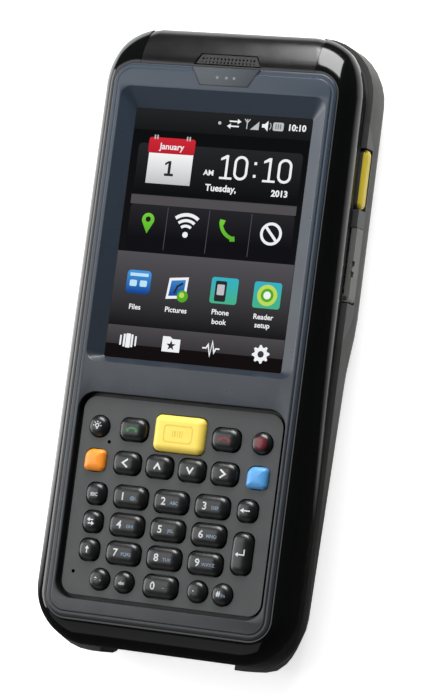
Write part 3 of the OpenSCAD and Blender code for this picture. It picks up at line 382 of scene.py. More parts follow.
RIM_GREY = Finish("rim_grey", (0.03, 0.03, 0.031), 0.5, specular=0.3)
INK_WHITE = Finish("ink_white", (0.62, 0.65, 0.67), 0.5, mottle=0.03)
INK_GREY = Finish("ink_grey", (0.55, 0.58, 0.6), 0.5, mottle=0.03)
INK_BLUE = Finish("ink_blue", (0.17, 0.24, 0.33), 0.5, mottle=0.03)
INK_GREEN = Finish("ink_green", (0.03, 0.17, 0.055), 0.5, mottle=0.03)
INK_RED = Finish("ink_red", (0.2, 0.018, 0.03), 0.5, mottle=0.03)
INK_DIM = Finish("ink_dim", (0.17, 0.19, 0.22), 0.4, mottle=0.02)
INK_AMBER = Finish("ink_amber", srgb(222, 190, 74), 0.5, mottle=0.02)

LIT_WHITE = Glow("lit_white", (0.86, 0.88, 0.9))
LIT_GREY = Glow("lit_grey", (0.5, 0.52, 0.54))
LIT_DIM = Glow("lit_dim", (0.075, 0.078, 0.09))
LIT_RED = Glow("lit_red", srgb(206, 38, 52), srgb(170, 22, 36), 50.0, 57.0)
LIT_PAPER = Glow("lit_paper", srgb(244, 244, 244), srgb(190, 192, 196), 43.4, 52.0)
LIT_INK = Glow("lit_ink", (0.02, 0.02, 0.025))
LIT_GREEN = Glow("lit_green", srgb(120, 208, 60), srgb(82, 168, 36), 28.0, 36.0)
LIT_BLUE = Glow("lit_blue", srgb(70, 150, 220), srgb(14, 66, 150), 12.0, 18.5)
LIT_SKY = Glow("lit_sky", srgb(190, 226, 246))
LIT_TEAL = Glow("lit_teal", srgb(52, 176, 196), srgb(70, 176, 132), 11.0, 18.5)
LIT_LIME = Glow("lit_lime", srgb(188, 216, 92))
LIT_BASE = Glow("lit_base", srgb(5, 6, 8), srgb(16, 16, 18), 0.0, 62.0)
LIT_BAND = Glow("lit_band", srgb(82, 80, 84), srgb(22, 22, 26), 3.0, 25.0)
LIT_STATUS = Glow("lit_status", srgb(30, 32, 34), srgb(16, 17, 19), 58.0, 64.0)
LIT_PANEL = Glow("lit_panel", srgb(34, 36, 39), srgb(4, 5, 8), 40.0, 55.5)
LIT_ROW = Glow("lit_row", srgb(36, 36, 40), srgb(9, 9, 16), 28.0, 38.0)
LIT_SHELF = Glow("lit_shelf", srgb(44, 44, 46), srgb(78, 76, 78), 39.5, 42.0)
LIT_BAR = Glow("lit_bar", srgb(74, 72, 74), srgb(52, 50, 52), -3.0, 2.6)
LIT_FOOT = Glow("lit_foot", srgb(14, 7, 8))


# ---------------------------------------------------------------- mesh tools

def linked(name: str, data: bpy.types.ID) -> bpy.types.Object:
    """Makes an object and links it to the scene.

    Args:
        name: Its name.
        data: Its mesh, curve, lamp or camera.

    Returns:
        The object.
    """
    made = bpy.data.objects.new(name, data)
    bpy.context.scene.collection.objects.link(made)
    return made


def plain_mesh(holder: bpy.types.Object) -> bpy.types.Mesh:
    """The mesh that an object's modifiers or characters come to."""
    bpy.context.view_layer.update()
    return bpy.data.meshes.new_from_object(holder.evaluated_get(bpy.context.evaluated_depsgraph_get()))


def outward_mesh(bm: bmesh.types.BMesh, name: str, scale: float = MM) -> bpy.types.Mesh:
    """Turns the faces of a finished bmesh outwards and makes it a mesh in metres.

    Args:
        bm: The bmesh, which is freed.
        name: Name of the mesh.
        scale: Metres in one of its units.

    Returns:
        The mesh.
    """
    bmesh.ops.recalc_face_normals(bm, faces=bm.faces)
    bm.transform(Matrix.Scale(scale, 4))
    mesh = bpy.data.meshes.new(name)
    bm.to_mesh(mesh)
    bm.free()
    return mesh


def smooth(mesh: bpy.types.Mesh, sharp: float) -> None:
    """Shades a mesh smoothly, with sharp edges past an angle between faces in degrees."""
    mesh.polygons.foreach_set("use_smooth", [True] * len(mesh.polygons))
    mesh.set_sharp_from_angle(angle=math.radians(sharp))


def settle(mesh: bpy.types.Mesh, name: str, finishes: Sequence[Look],
           sharp: float = SHARP) -> bpy.types.Object:
    """Links a finished mesh as a piece with smooth faces and sharp edges.

    Args:
        mesh: The mesh, in metres.
        name: Name of the piece.
        finishes: Its materials, where it has none yet.
        sharp: Angle between faces, in degrees, past which an edge stays sharp.

    Returns:
        The piece.
    """
    mesh.name = name
    if not mesh.materials:
        for finish in finishes:
            mesh.materials.append(finish.build())
    smooth(mesh, sharp)
    return linked(name, mesh)


def worked(piece: bpy.types.Object, kind: str, **settings: object) -> None:
    """Runs one modifier on a piece and keeps the result as its mesh.

    Args:
        piece: The piece.
        kind: The modifier's type.
        settings: The modifier's settings.
    """
    modifier = piece.modifiers.new("work", kind)
    for name, setting in settings.items():
        setattr(modifier, name, setting)
    mesh = plain_mesh(piece)
    piece.modifiers.clear()
    piece.data = mesh


def sliced(bm: bmesh.types.BMesh, place: Place, normal: Place, near: float, **cleared: bool) -> None:
    """Cuts the faces of a mesh along a plane.

    Args:
        bm: The mesh.
        place: A point of the plane.
        normal: The plane's normal.
        near: How close a vertex lies to the plane to count as on it.
        cleared: Which side is taken away.
    """
    whole = [*bm.verts, *bm.edges, *bm.faces]
    bmesh.ops.bisect_plane(bm, geom=whole, dist=near, plane_co=place, plane_no=normal, **cleared)


def close(bm: bmesh.types.BMesh) -> None:
    """Fills the open borders of a mesh.

    Args:
        bm: The mesh.
    """
    borders = [e for e in bm.edges if e.is_boundary]
    if borders:
        bmesh.ops.holes_fill(bm, edges=borders, sides=0)


def mount(piece: bpy.types.Object, body: str, nodes: Sequence[str] = ()) -> None:
    """Puts a finished piece on its body.

    Args:
        piece: The piece.
        body: The body it moves with.
        nodes: The nodes it stands for.
    """
    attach(piece, body)
    if nodes:
        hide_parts(*nodes)
    log.info("%s on %s, %d faces", piece.name, body, len(piece.data.polygons))


@dataclass(frozen=True)
class Round:
    """A rounded rectangle: half width, lower and upper y, corner radius, and the x of its middle.

    Its upper left corner may have a radius of its own.
    """

    hw: float
    y0: float
    y1: float
    r: float
    x: float = 0.0
    upper_left_r: float | None = None
    least_r: float = 0.05

    def inset(self, d: float) -> "Round":
        """The same outline, moved inwards by d."""
        corner = None if self.upper_left_r is None else max(self.upper_left_r - d, self.least_r)
        return Round(self.hw - d, self.y0 + d, self.y1 - d, max(self.r - d, self.least_r), self.x, corner)

    def towards(self, other: "Round", share: float) -> "Round":
        """The outline that lies a share of the way to another one."""
        here, there = ((o.hw, o.y0, o.y1, o.r, o.x) for o in (self, other))
        return Round(*(a + (b - a) * share for a, b in zip(here, there)))

    def ring(self, z: float, steps: int = 16) -> list[Vector]:
        """Points of the outline.

        Args:
            z: Height of the points.
            steps: Facets of each corner.

        Returns:
            The points, anticlockwise seen from above.
        """
        radii = (self.r, self.r if self.upper_left_r is None else self.upper_left_r, self.r, self.r)
        points = []
        for quarter, r in enumerate(radii):
            cx = self.x + (self.hw - r) * (-1 if quarter in (1, 2) else 1)
            cy = self.y0 + r if quarter > 1 else self.y1 - r
            for i in range(steps + 1):
                a = math.pi / 2 * (quarter + i / steps)
                points.append(Vector((cx + r * math.cos(a), cy + r * math.sin(a), z)))
        return points

    def depth(self, x: float, y: float) -> float:
        """Distance from a point inside the outline to its edge.

        Args:
            x: Place of the point.
            y: Place of the point.

        Returns:
            The distance, as if all four corners had the radius r.
        """
        qx = abs(x - self.x) - self.hw + self.r
        qy = abs(y - (self.y0 + self.y1) / 2) - (self.y1 - self.y0) / 2 + self.r
        return self.r - math.hypot(max(qx, 0), max(qy, 0)) - min(max(qx, qy), 0)


class Solid:
    """A mesh under construction, made of rings, the strips between them and flat fills."""

    weld = 1e-4

    def __init__(self) -> None:
        """Starts an empty mesh."""
        self.bm = bmesh.new()

    def strip(self, low: Ring, high: Ring) -> None:
        """Joins two closed rings of the same number of points.

        Args:
            low: The first ring.
            high: The second ring.
        """
        n = len(low)
        for i in range(n):
            k = (i + 1) % n
            self.bm.faces.new((low[i], low[k], high[k], high[i]))

    def loft(self, rings: Iterable[Iterable[Vector]], closed: bool = False) -> list[Ring]:
        """Joins many rings.

        Args:
            rings: Their points.
            closed: Whether the last is joined to the first.

        Returns:
            The rings' vertices.
        """
        made = [[self.bm.verts.new(point) for point in ring] for ring in rings]
        for low, high in zip(made, made[1:] + made[:1] if closed else made[1:]):
            self.strip(low, high)
        return made

    def fill(self, *loops: Ring) -> None:
        """Fills a flat outline; the loops after the first are its holes."""
        flat = [v for loop in loops for v in loop]
        for triangle in tessellate_polygon([[v.co for v in loop] for loop in loops]):
            self.bm.faces.new([flat[i] for i in triangle])

    def block(self, rings: Iterable[Iterable[Vector]]) -> None:
        """Joins many rings and fills both ends.

        Args:
            rings: Their points.
        """
        made = self.loft(rings)
        self.fill(made[0])
        self.fill(made[-1])

    def finish(self, name: str, finishes: Sequence[Look], sharp: float = SHARP) -> bpy.types.Object:
        """Closes the mesh and makes its object.

        Args:
            name: Name of the piece.
            finishes: Its materials.
            sharp: Angle between faces, in degrees, past which an edge stays sharp.

        Returns:
            The piece, in metres.
        """
        bmesh.ops.remove_doubles(self.bm, verts=self.bm.verts, dist=self.weld)
        return settle(outward_mesh(self.bm, name), name, finishes, sharp)


# ---------------------------------------------------------------- flat shapes

def disc(x: float, y: float, r: float, n: int = 20, start: float = 0.0, end: float = 360.0) -> list[Flat]:
    """Points of a circle or of an arc of it."""
    count = n if abs(end - start) >= 360 else n + 1
    return [polar(x, y, r, start + (end - start) * i / n) for i in range(count)]


def arc_band(x: float, y: float, r: float, w: float, start: float, end: float, n: int = 14) -> list[Flat]:
    """Outline of a band of width w along an arc."""
    return disc(x, y, r + w / 2, n, start, end) + disc(x, y, r - w / 2, n, end, start)


def stroke(points: Sequence[Flat], w: float, mitre: float = 0.35) -> list[Flat]:
    """Outline of a line through points.

    Args:
        points: The points.
        w: Width of the line.
        mitre: Least cosine of half a bend, past which its corner is cut short.

    Returns:
        The points of the outline.
    """
    left, right = [], []
    for i, p in enumerate(points):
        before = Vector(points[max(i - 1, 0)])
        after = Vector(points[min(i + 1, len(points) - 1)])
        here = Vector(p)
        a = (here - before).normalized() if i else (after - here).normalized()
        b = (after - here).normalized() if i < len(points) - 1 else a
        bisector = (a + b).normalized()
        normal = Vector((-bisector.y, bisector.x))
        reach = w / 2 / max(mitre, abs(normal.dot(Vector((-a.y, a.x)))))
        left.append(tuple(here + normal * reach))
        right.append(tuple(here - normal * reach))
    return left + right[::-1]


def panel(x0: float, y0: float, x1: float, y1: float, r: float = 0.0, n: int = 5) -> list[Flat]:
    """Outline of a box with rounded corners.

    Args:
        x0: Its left side.
        y0: Its lower side.
        x1: Its right side.
        y1: Its upper side.
        r: Radius of its corners.
        n: Facets of each corner.

    Returns:
        The points of the outline.
    """
    if r <= 0:
        return [(x0, y0), (x1, y0), (x1, y1), (x0, y1)]
    return [(p.x, p.y) for p in Round((x1 - x0) / 2, y0, y1, r, (x0 + x1) / 2).ring(0, n)]


def taper(half_widths: Flat, ends: Flat, inset: float = 0.0, top_inset: float = 0.0) -> list[Flat]:
    """Outline of a box whose sides lean.

    Args:
        half_widths: Half its width at the lower and at the upper end.
        ends: Its lower and its upper y.
        inset: How far the lower end and the sides are moved inwards.
        top_inset: How far the upper end is moved inwards.

    Returns:
        The points of the outline.
    """
    (low_hw, top_hw), (y0, y1) = half_widths, ends
    low_x, top_x, low_y, top_y = low_hw - inset, top_hw - inset, y0 + inset, y1 - top_inset
    return [(-low_x, low_y), (low_x, low_y), (top_x, top_y), (-top_x, top_y)]


@dataclass
class Decal:
    """Thin printed or lit shapes that follow a surface: polygons and generic characters.

    Where the surface is curved, edges longer than fine are divided.
    """

    name: str
    thickness: float = 0.02
    fine: float = 0.0
    weld: float = 1e-4
    sharp: float = 20.0
    capital: float = 0.7
    curve_steps: int = 3
    finishes: list[Look] = field(default_factory=list)
    shapes: list[tuple[list, list, int]] = field(default_factory=list)

    def _add(self, verts: list, faces: list, finish: Look) -> None:
        """Keeps a shape with the number of its finish.

        Args:
            verts: Its vertices.
            faces: The numbers of the vertices of each face.
            finish: Its finish.
        """
        if finish not in self.finishes:
            self.finishes.append(finish)
        self.shapes.append((verts, faces, self.finishes.index(finish)))

    def polygon(self, outline: Sequence[Flat], finish: Look, level: float = 0.0,
                holes: Sequence[Sequence[Flat]] = ()) -> None:
        """Adds a flat shape.

        Args:
            outline: Its points.
            finish: Its finish.
            level: Height over the surface.
            holes: Outlines of its holes.
        """
        loops = [outline, *holes]
        triangles = tessellate_polygon([[Vector((x, y, 0)) for x, y in loop] for loop in loops])
        flat = [p for loop in loops for p in loop]
        n = len(flat)
        verts = [(x, y, z) for z in (level + self.thickness, level) for x, y in flat]
        faces = [tuple(t) for t in triangles] + [tuple(n + i for i in reversed(t)) for t in triangles]
        start = 0
        for loop in loops:
            m = len(loop)
            for i in range(m):
                here, after = start + i, start + (i + 1) % m
                faces.append((here, after, n + after, n + here))
            start += m
        self._add(verts, faces, finish)

    def tile(self, x0: float, y0: float, x1: float, y1: float, finish: Look,
             level: float = 0.0, r: float = 0.0) -> None:
        """Adds a box with rounded corners."""
        self.polygon(panel(x0, y0, x1, y1, r), finish, level)

    def text(self, body: str, x: float, y: float, size: float, finish: Look,
             level: float = 0.0, weight: float = 0.0) -> None:
        """Adds characters.

        Args:
            body: The characters.
            x: Place of their middle.
            y: Place of their middle.
            size: Height of a capital.
            finish: Their finish.
            level: Height over the surface.
            weight: How far the strokes are thickened.
        """
        curve = bpy.data.curves.new("characters", "FONT")
        curve.body = body
        curve.size = size / self.capital
        curve.offset = weight
        curve.extrude = self.thickness / 2
        curve.resolution_u = self.curve_steps
        holder = linked("characters", curve)
        mesh = plain_mesh(holder)
        bpy.data.objects.remove(holder)
        bpy.data.curves.remove(curve)
        xs = [v.co.x for v in mesh.vertices]
        ys = [v.co.y for v in mesh.vertices]
        mx, my, mz = (min(xs) + max(xs)) / 2, (min(ys) + max(ys)) / 2, level + self.thickness / 2
        verts = [(x + (v.co.x - mx), y + v.co.y - my, mz + v.co.z) for v in mesh.vertices]
        faces = [tuple(p.vertices) for p in mesh.polygons]
        bpy.data.meshes.remove(mesh)
        self._add(verts, faces, finish)

    def finish(self, surface: Height, origin: Flat = (0.0, 0.0)) -> bpy.types.Object:
        """Lays the shapes on their surface.

        Args:
            surface: Height of the surface at a place.
            origin: Where the shapes' own zero lies.

        Returns:
            The piece.
        """
        bm = bmesh.new()
        for verts, faces, slot in self.shapes:
            made = [bm.verts.new((x + origin[0], y + origin[1], z)) for x, y, z in verts]
            for corners in faces:
                bm.faces.new([made[i] for i in corners]).material_index = slot
        bmesh.ops.remove_doubles(bm, verts=bm.verts, dist=self.weld)
        if self.fine:
            self._divide(bm)
        for v in bm.verts:
            v.co.z += surface(v.co.x, v.co.y)
        return settle(outward_mesh(bm, self.name), self.name, self.finishes, self.sharp)

    def _divide(self, bm: bmesh.types.BMesh) -> None:
        """Divides the long edges of a mesh until none is left.

        Args:
            bm: The mesh.
        """
        while long_edges := [e for e in bm.edges if e.calc_length() > self.fine]:
            bmesh.ops.subdivide_edges(bm, edges=long_edges, cuts=1)
            bmesh.ops.triangulate(bm, faces=[f for f in bm.faces if len(f.verts) > 4])


# ---------------------------------------------------------------- the body

@dataclass(frozen=True)
class Waist:
    """Slight narrowing of the sides: of the front shell near the scanner, of the back along the grip.

    It starts at front_x and grip_x from the middle and is full a blend further out. Along the grip it is
    full below the first height of grip_z and none above the second. cuts are where the grip may bend.
    """

    front_start: float = 35.0
    front_run: float = 45.0
    front_depth: float = 1.1
    front_x: float = 34.0
    front_blend: float = 5.7
    grip_start: float = 12.0
    grip_run: float = 19.0
    grip_depth: float = 1.5
    grip_growth: float = 0.026
    grip_x: float = 30.0
    grip_blend: float = 8.0
    grip_z: Flat = (8.0, 17.0)
    cuts: tuple[float, ...] = (12.0, 7.0, 2.0, -3.0, -7.0, -25.0, -45.0, -60.0, -72.0)
    near: float = 1e-4

    def front(self, p: Vector) -> None:
        """Moves a point of the front shell.

        Args:
            p: The point.
        """
        reach = clamped((abs(p.x) - self.front_x) / self.front_blend)
        depth = self.front_depth * eased((p.y - self.front_start) / self.front_run)
        p.x -= math.copysign(depth * reach, p.x)

    def back(self, p: Vector) -> None:
        """Moves a point of the back.

        Args:
            p: The point.
        """
        low_z, high_z = self.grip_z
        reach = clamped((abs(p.x) - self.grip_x) / self.grip_blend)
        lowness = clamped((high_z - p.z) / (high_z - low_z))
        depth = self.grip_depth * eased((self.grip_start - p.y) / self.grip_run)
        depth += self.grip_growth * max(0.0, self.grip_start - self.grip_run - p.y)
        p.x -= math.copysign(depth * reach * lowness, p.x)

    def shape_back(self, bm: bmesh.types.BMesh) -> None:
        """Cuts the back into short lengths along the grip and moves its points.

        Args:
            bm: The mesh, in metres.
        """
        for y in self.cuts:
            sliced(bm, (0, y * MM, 0), (0, 1, 0), self.near * MM)
        for v in bm.verts:
            point = v.co / MM
            self.back(point)
            v.co = point * MM


WAIST = Waist()


@dataclass
class BodyForm:
    """Outer form of the front housing, shared by the housing and the top cap."""

    hw: float = 39.7
    y_low: float = -88.0
    y_top: float = 88.5
    corner: float = 16.5
    corner_loss: float = 10.0
    slope_w: float = 5.5
    slope_top: float = 10.9
    slope_low: float = 6.8
    power: float = 1.5
    ridge_z: float = 22.5
    rim_z: float = 29.3
    rim_drop: float = 0.04
    low_z: float = 20.0
    lip: float = 0.3
    wall: float = 2.0
    wall_drop: float = 1.0
    slices: int = 20
    corner_steps: int = 24
    edge: float = 0.25

    def outline(self, s: float) -> Round:
        """Outline at a share of the slope.

        Args:
            s: The share, from 0 at the ridge to 1 at the rim.

        Returns:
            The outline.
        """
        swell = 1 - (1 - s ** self.power) ** (1 / self.power)
        return Round(self.hw - self.slope_w * swell, self.y_low + self.slope_low * swell,
                     self.y_top - self.slope_top * swell, self.corner - self.corner_loss * swell)

    def shell(self) -> Solid:
        """Makes the housing's wall as a closed ring round the face plate.

        Returns:
            The wall's mesh.
        """
        inner_rim, base = self.outline(1.0).inset(self.lip), self.outline(0.0)
        rows = [(inner_rim, self.rim_z - self.wall), (inner_rim, self.rim_z - self.rim_drop)]
        for i in range(self.slices, -1, -1):
            s = math.sin(math.pi / 2 * i / self.slices)
            rows.append((self.outline(s), self.ridge_z + s * (self.rim_z - self.ridge_z)))
        inner = base.inset(self.wall)
        rows += [(base, self.low_z + self.edge), (base.inset(self.edge), self.low_z),
                 (inner, self.low_z), (inner, self.ridge_z - self.wall_drop)]
        solid = Solid()
        solid.loft([outline.ring(z, self.corner_steps) for outline, z in rows], closed=True)
        return solid


@dataclass
class FrontHousing:
    """The polished shell round the face plate and the cap on the scanner end."""

    form: BodyForm = field(default_factory=BodyForm)
    cap_hw: float = 26.4
    seam: float = 0.16
    wall: Round = field(default_factory=lambda: Round(23.2, 5.0, 19.84, 0.8))
    wall_y: float = 85.7
    window: Round = field(default_factory=lambda: Round(15.0, 7.0, 15.0, 1.0))
    corner_steps: int = 6
    grille_hw: Flat = (10.2, 8.6)
    grille_y: Flat = (77.75, 81.2)
    knife_rise: float = 2.0
    bow_rise: float = 0.95
    bow_fall: float = 0.35
    near: float = 1e-5
    slack: float = 1e-3
    sharp: float = 40.0

    def build(self) -> None:
        """Makes the housing and the cap."""
        mount(self.housing(), ROOT, ["front_housing"])
        mount(self.cap(), ROOT, ["top_cap"])

    def housing(self) -> bpy.types.Object:
        """Makes the shell with its opening for the cap.

        Returns:
            The shell.
        """
        solid = self.form.shell()
        bm = solid.bm
        reach = self.cap_hw + self.seam
        for x in (-reach, reach):
            sliced(bm, (x, 0, 0), (1, 0, 0), self.near)
        middles = {f: f.calc_center_median() for f in bm.faces}
        doomed = [f for f, middle in middles.items() if middle.y > 0 and abs(middle.x) < reach - self.slack]
        bmesh.ops.delete(bm, geom=doomed, context="FACES")
        close(bm)
        for v in bm.verts:
            WAIST.front(v.co)
        return solid.finish("front_shell", [GLOSS_BLACK], self.sharp)

    def cap(self) -> bpy.types.Object:
        """Makes the cap: the slope between the seams, and the end wall with the scanner's opening.

        Returns:
            The cap.
        """
        solid = self.form.shell()
        bm = solid.bm
        for x, right in ((self.cap_hw, False), (-self.cap_hw, True)):
            sliced(bm, (x, 0, 0), (1, 0, 0), self.near, clear_inner=right, clear_outer=not right)
            close(bm)
        bmesh.ops.delete(bm, geom=[v for v in bm.verts if v.co.y < 0], context="VERTS")
        slope, bow = self.form.slope_top, self.bow_rise + self.bow_fall
        for v in bm.verts:
            share = clamped((v.co.y - self.form.y_top + slope) / slope)
            v.co.y += share * (self.bow_rise - bow * (v.co.x / self.cap_hw) ** 2)
        self._end_wall(solid)
        piece = solid.finish("scanner_cap", [CAP_BLACK], self.sharp)
        knife = self._grille_knife()
        worked(piece, "BOOLEAN", operation="DIFFERENCE", object=knife, solver="EXACT")
        bpy.data.objects.remove(knife)
        smooth(piece.data, SHARP)
        return piece

    def _end_wall(self, solid: Solid) -> None:
        """Adds the end wall under the slope, with the scanner's opening.

        Args:
            solid: The cap's mesh.
        """
        face, edge = self.form.y_top, self.form.edge

        def side(outline: Round, inset: float) -> list[Ring]:
            """Makes the upright side of the wall or of the opening, from the inside out.

            Args:
                outline: Outline of the wall or the opening.
                inset: How far its outer edge is moved inwards.

            Returns:
                Its rings.
            """
            rows = ((outline, self.wall_y), (outline, face - edge), (outline.inset(inset), face))
            return solid.loft([[Vector((p.x, y, p.y)) for p in row.ring(0, self.corner_steps)]
                               for row, y in rows])

        wall, window = side(self.wall, edge), side(self.window, -edge)
        solid.fill(wall[0], window[0])
        solid.fill(wall[-1], window[-1])

    def _grille_knife(self) -> bpy.types.Object:
        """Makes a prism for the grille's opening in the slope.

        Returns:
            The prism.
        """
        solid = Solid()
        solid.block([[Vector((x, y, z)) for x, y in taper(self.grille_hw, self.grille_y)]
                     for z in (self.form.ridge_z, self.form.rim_z + self.knife_rise)])
        return solid.finish("grille_knife", [GLOSS_BLACK])


@dataclass
class FacePlate:
    """The slate plate with its groove, the sloping display recess and the keypad opening.

    edge and keypad_edge hold steps inwards with their heights; recess_edge holds shares of the way from
    the recess's upper outline to the picture's. The keypad opening's low walls are painted black, as
    painted shade.
    """

    outer: Round = field(default_factory=lambda: Round(33.8, -80.8, 77.2, 6.0))
    low_z: float = 27.0
    top_z: float = 30.0
    edge: Profile = ((0.0, 29.3), (0.1, 29.55), (0.35, 29.68), (0.9, 29.74), (1.3, 29.76), (1.45, 29.72),
                     (1.58, 29.9), (1.75, 29.98), (1.9, 30.0))
    recess: Round = field(default_factory=lambda: Round(31.1, -8.5, 70.4, 3.2))
    picture: Round = field(default_factory=lambda: Round(26.9, -6.8, 64.8, 0.75))
    recess_edge: Profile = ((-0.03, 30.0), (0.005, 29.93), (0.05, 29.78), (0.1, 29.62))
    keypad: Round = field(default_factory=lambda: Round(31.25, -75.4, -17.2, 5.0))
    keypad_edge: Profile = ((-0.3, 30.0), (-0.1, 29.93), (0.0, 29.7))
    # Height under which the keypad opening's walls are painted black, as painted shade.
    painted_shade_below: float = 29.8
    corner_steps: int = 14
    sharp: float = 24.0
    window_hw: Flat = (7.4, 10.4)
    window_y: Flat = (71.8, 77.05)
    window_rise: float = 0.07
    window_depth: float = 1.0
    window_bevel: float = 0.2
    bevel_start: float = 0.3
    window_sharp: float = 20.0
    frame_w: float = 0.28
    frame_rise: float = 0.015
    marks_x: tuple[float, ...] = (-2.2, 0.6, 2.9)
    marks_up: float = 2.4
    mark_r: float = 0.42
    mark_t: float = 0.01

    def build(self) -> None:
        """Makes the plate and the indicator window."""
        mount(self.plate(), ROOT, ["face_plate"])
        mount(self.pane("window_joint", DEEP_BLACK, 0.0, self.frame_rise), ROOT)
        window = self.pane("status_window", SMOKE, self.frame_w, self.window_rise)
        mount(window, ROOT, ["indicator_window"])
        marks = Decal("indicator_marks", self.mark_t)
        for x in self.marks_x:
            marks.polygon(disc(x, self.window_y[0] + self.marks_up, self.mark_r, 12), INK_DIM)
        mount(marks.finish(lambda x, y: self.top_z + self.window_rise), ROOT)

    def pane(self, name: str, finish: Finish, inset: float, rise: float) -> bpy.types.Object:
        """One layer of the indicator window, bevelled along its edges.

        Args:
            name: Name of the piece.
            finish: Its finish.
            inset: How much smaller it is than the dark joint round the window.
            rise: How far it stands out of the plate.

        Returns:
            The piece.
        """
        rows = ((0.0, -self.window_depth), (0.0, rise * self.bevel_start), (self.window_bevel, rise))
        solid = Solid()
        solid.block([[Vector((x, y, self.top_z + up))
                      for x, y in taper(self.window_hw, self.window_y, inset + bevel, bevel)]
                     for bevel, up in rows])
        return solid.finish(name, [finish], self.window_sharp)

    def plate(self) -> bpy.types.Object:
        """Makes the plate as one closed mesh.

        Returns:
            The plate.
        """
        n = self.corner_steps
        solid = Solid()
        edge = [self.outer.inset(d).ring(z, n) for d, z in self.edge]
        rim = solid.loft([self.outer.ring(self.low_z, n), *edge])
        slope = [self.recess.towards(self.picture, t).ring(z, n) for t, z in self.recess_edge]
        well = solid.loft([*slope, self.picture.ring(self.low_z, n)])
        before = len(solid.bm.faces)
        lip = [self.keypad.inset(d).ring(z, n) for d, z in self.keypad_edge]
        keys = solid.loft([*lip, self.keypad.ring(self.low_z, n)])
        # Painted shade: the keypad opening's walls low down, in the gap round the keypad, get the black
        # finish.
        solid.bm.faces.ensure_lookup_table()
        for face in solid.bm.faces[before:]:
            face.material_index = int(min(v.co.z for v in face.verts) < self.painted_shade_below)
        solid.fill(rim[-1], well[0], keys[0])
        solid.fill(rim[0], well[-1], keys[-1])
        return solid.finish("bezel", [SLATE, DEEP_BLACK], self.sharp)


# ---------------------------------------------------------------- keys

class Mark(Enum):
    """What is printed on a key."""

    NONE = "none"
    LEFT = "left"
    RIGHT = "right"
    UP = "up"
    DOWN = "down"
    ENTER = "enter"
    BACK = "back"
    SHIFT = "shift"
    TAB = "tab"
    HANDSET = "handset"
    HANG_UP = "hang up"
    LAMP = "lamp"
    SCAN = "scan"
    LETTERS = "letters"


@dataclass(frozen=True)
class KeyShape:
    """Corner radii, reach and roundness of a key's crown; with no corner the key is round."""

    corner: float | None = 2.75
    upper_left: float | None = None
    crown: float = 3.2
    power: float = 2.5


class KeyForm(Enum):
    """The kinds of key."""

    PILLOW = KeyShape()
    ROUND = KeyShape(corner=None)
    SHORTCUT = KeyShape(1.3, 2.6)
    BROAD = KeyShape(1.9, crown=2.1, power=2.2)


@dataclass(frozen=True)
class KeySpec:
    """One key: its node, mark, characters, kind and finish; a ringed key has its finish only inside."""

    node: str
    mark: Mark = Mark.LETTERS
    digit: str = ""
    letters: str = ""
    form: KeyForm = KeyForm.PILLOW
    finish: Finish = KEY_BLACK
    ringed: bool = False


KEY_SPECS = (
    KeySpec("key_backlight", Mark.LAMP, form=KeyForm.ROUND),
    KeySpec("key_call", Mark.HANDSET),
    KeySpec("key_scan", Mark.SCAN, form=KeyForm.BROAD, finish=KEY_YELLOW),
    KeySpec("key_end", Mark.HANG_UP),
    KeySpec("key_power", Mark.NONE, form=KeyForm.ROUND, finish=KEY_RED, ringed=True),
    KeySpec("key_orange", Mark.NONE, form=KeyForm.SHORTCUT, finish=KEY_ORANGE),
    KeySpec("key_left", Mark.LEFT),
    KeySpec("key_up", Mark.UP),
    KeySpec("key_down", Mark.DOWN),
    KeySpec("key_right", Mark.RIGHT),
    KeySpec("key_blue", Mark.NONE, form=KeyForm.SHORTCUT, finish=KEY_BLUE),
    KeySpec("key_escape", letters="ESC"),
    KeySpec("key_1", digit="1", letters="@/."),
    KeySpec("key_2", digit="2", letters="ABC"),
    KeySpec("key_3", digit="3", letters="DEF"),
    KeySpec("key_backspace", Mark.BACK),
    KeySpec("key_tab", Mark.TAB),
    KeySpec("key_4", digit="4", letters="GHI"),
    KeySpec("key_5", digit="5", letters="JKL"),
    KeySpec("key_6", digit="6", letters="MNO"),
    KeySpec("key_shift", Mark.SHIFT),
    KeySpec("key_7", digit="7", letters="PQRS"),
    KeySpec("key_8", digit="8", letters="TUV"),
    KeySpec("key_9", digit="9", letters="WXYZ"),
    KeySpec("key_star", digit="*", letters="+", form=KeyForm.ROUND),
    KeySpec("key_alpha", letters="abc", form=KeyForm.ROUND),
    KeySpec("key_0", digit="0", letters="_"),
    KeySpec("key_point", digit=".", form=KeyForm.ROUND),
    KeySpec("key_hash", digit="#", letters="Fn", form=KeyForm.ROUND),
    KeySpec("key_enter", Mark.ENTER),
)


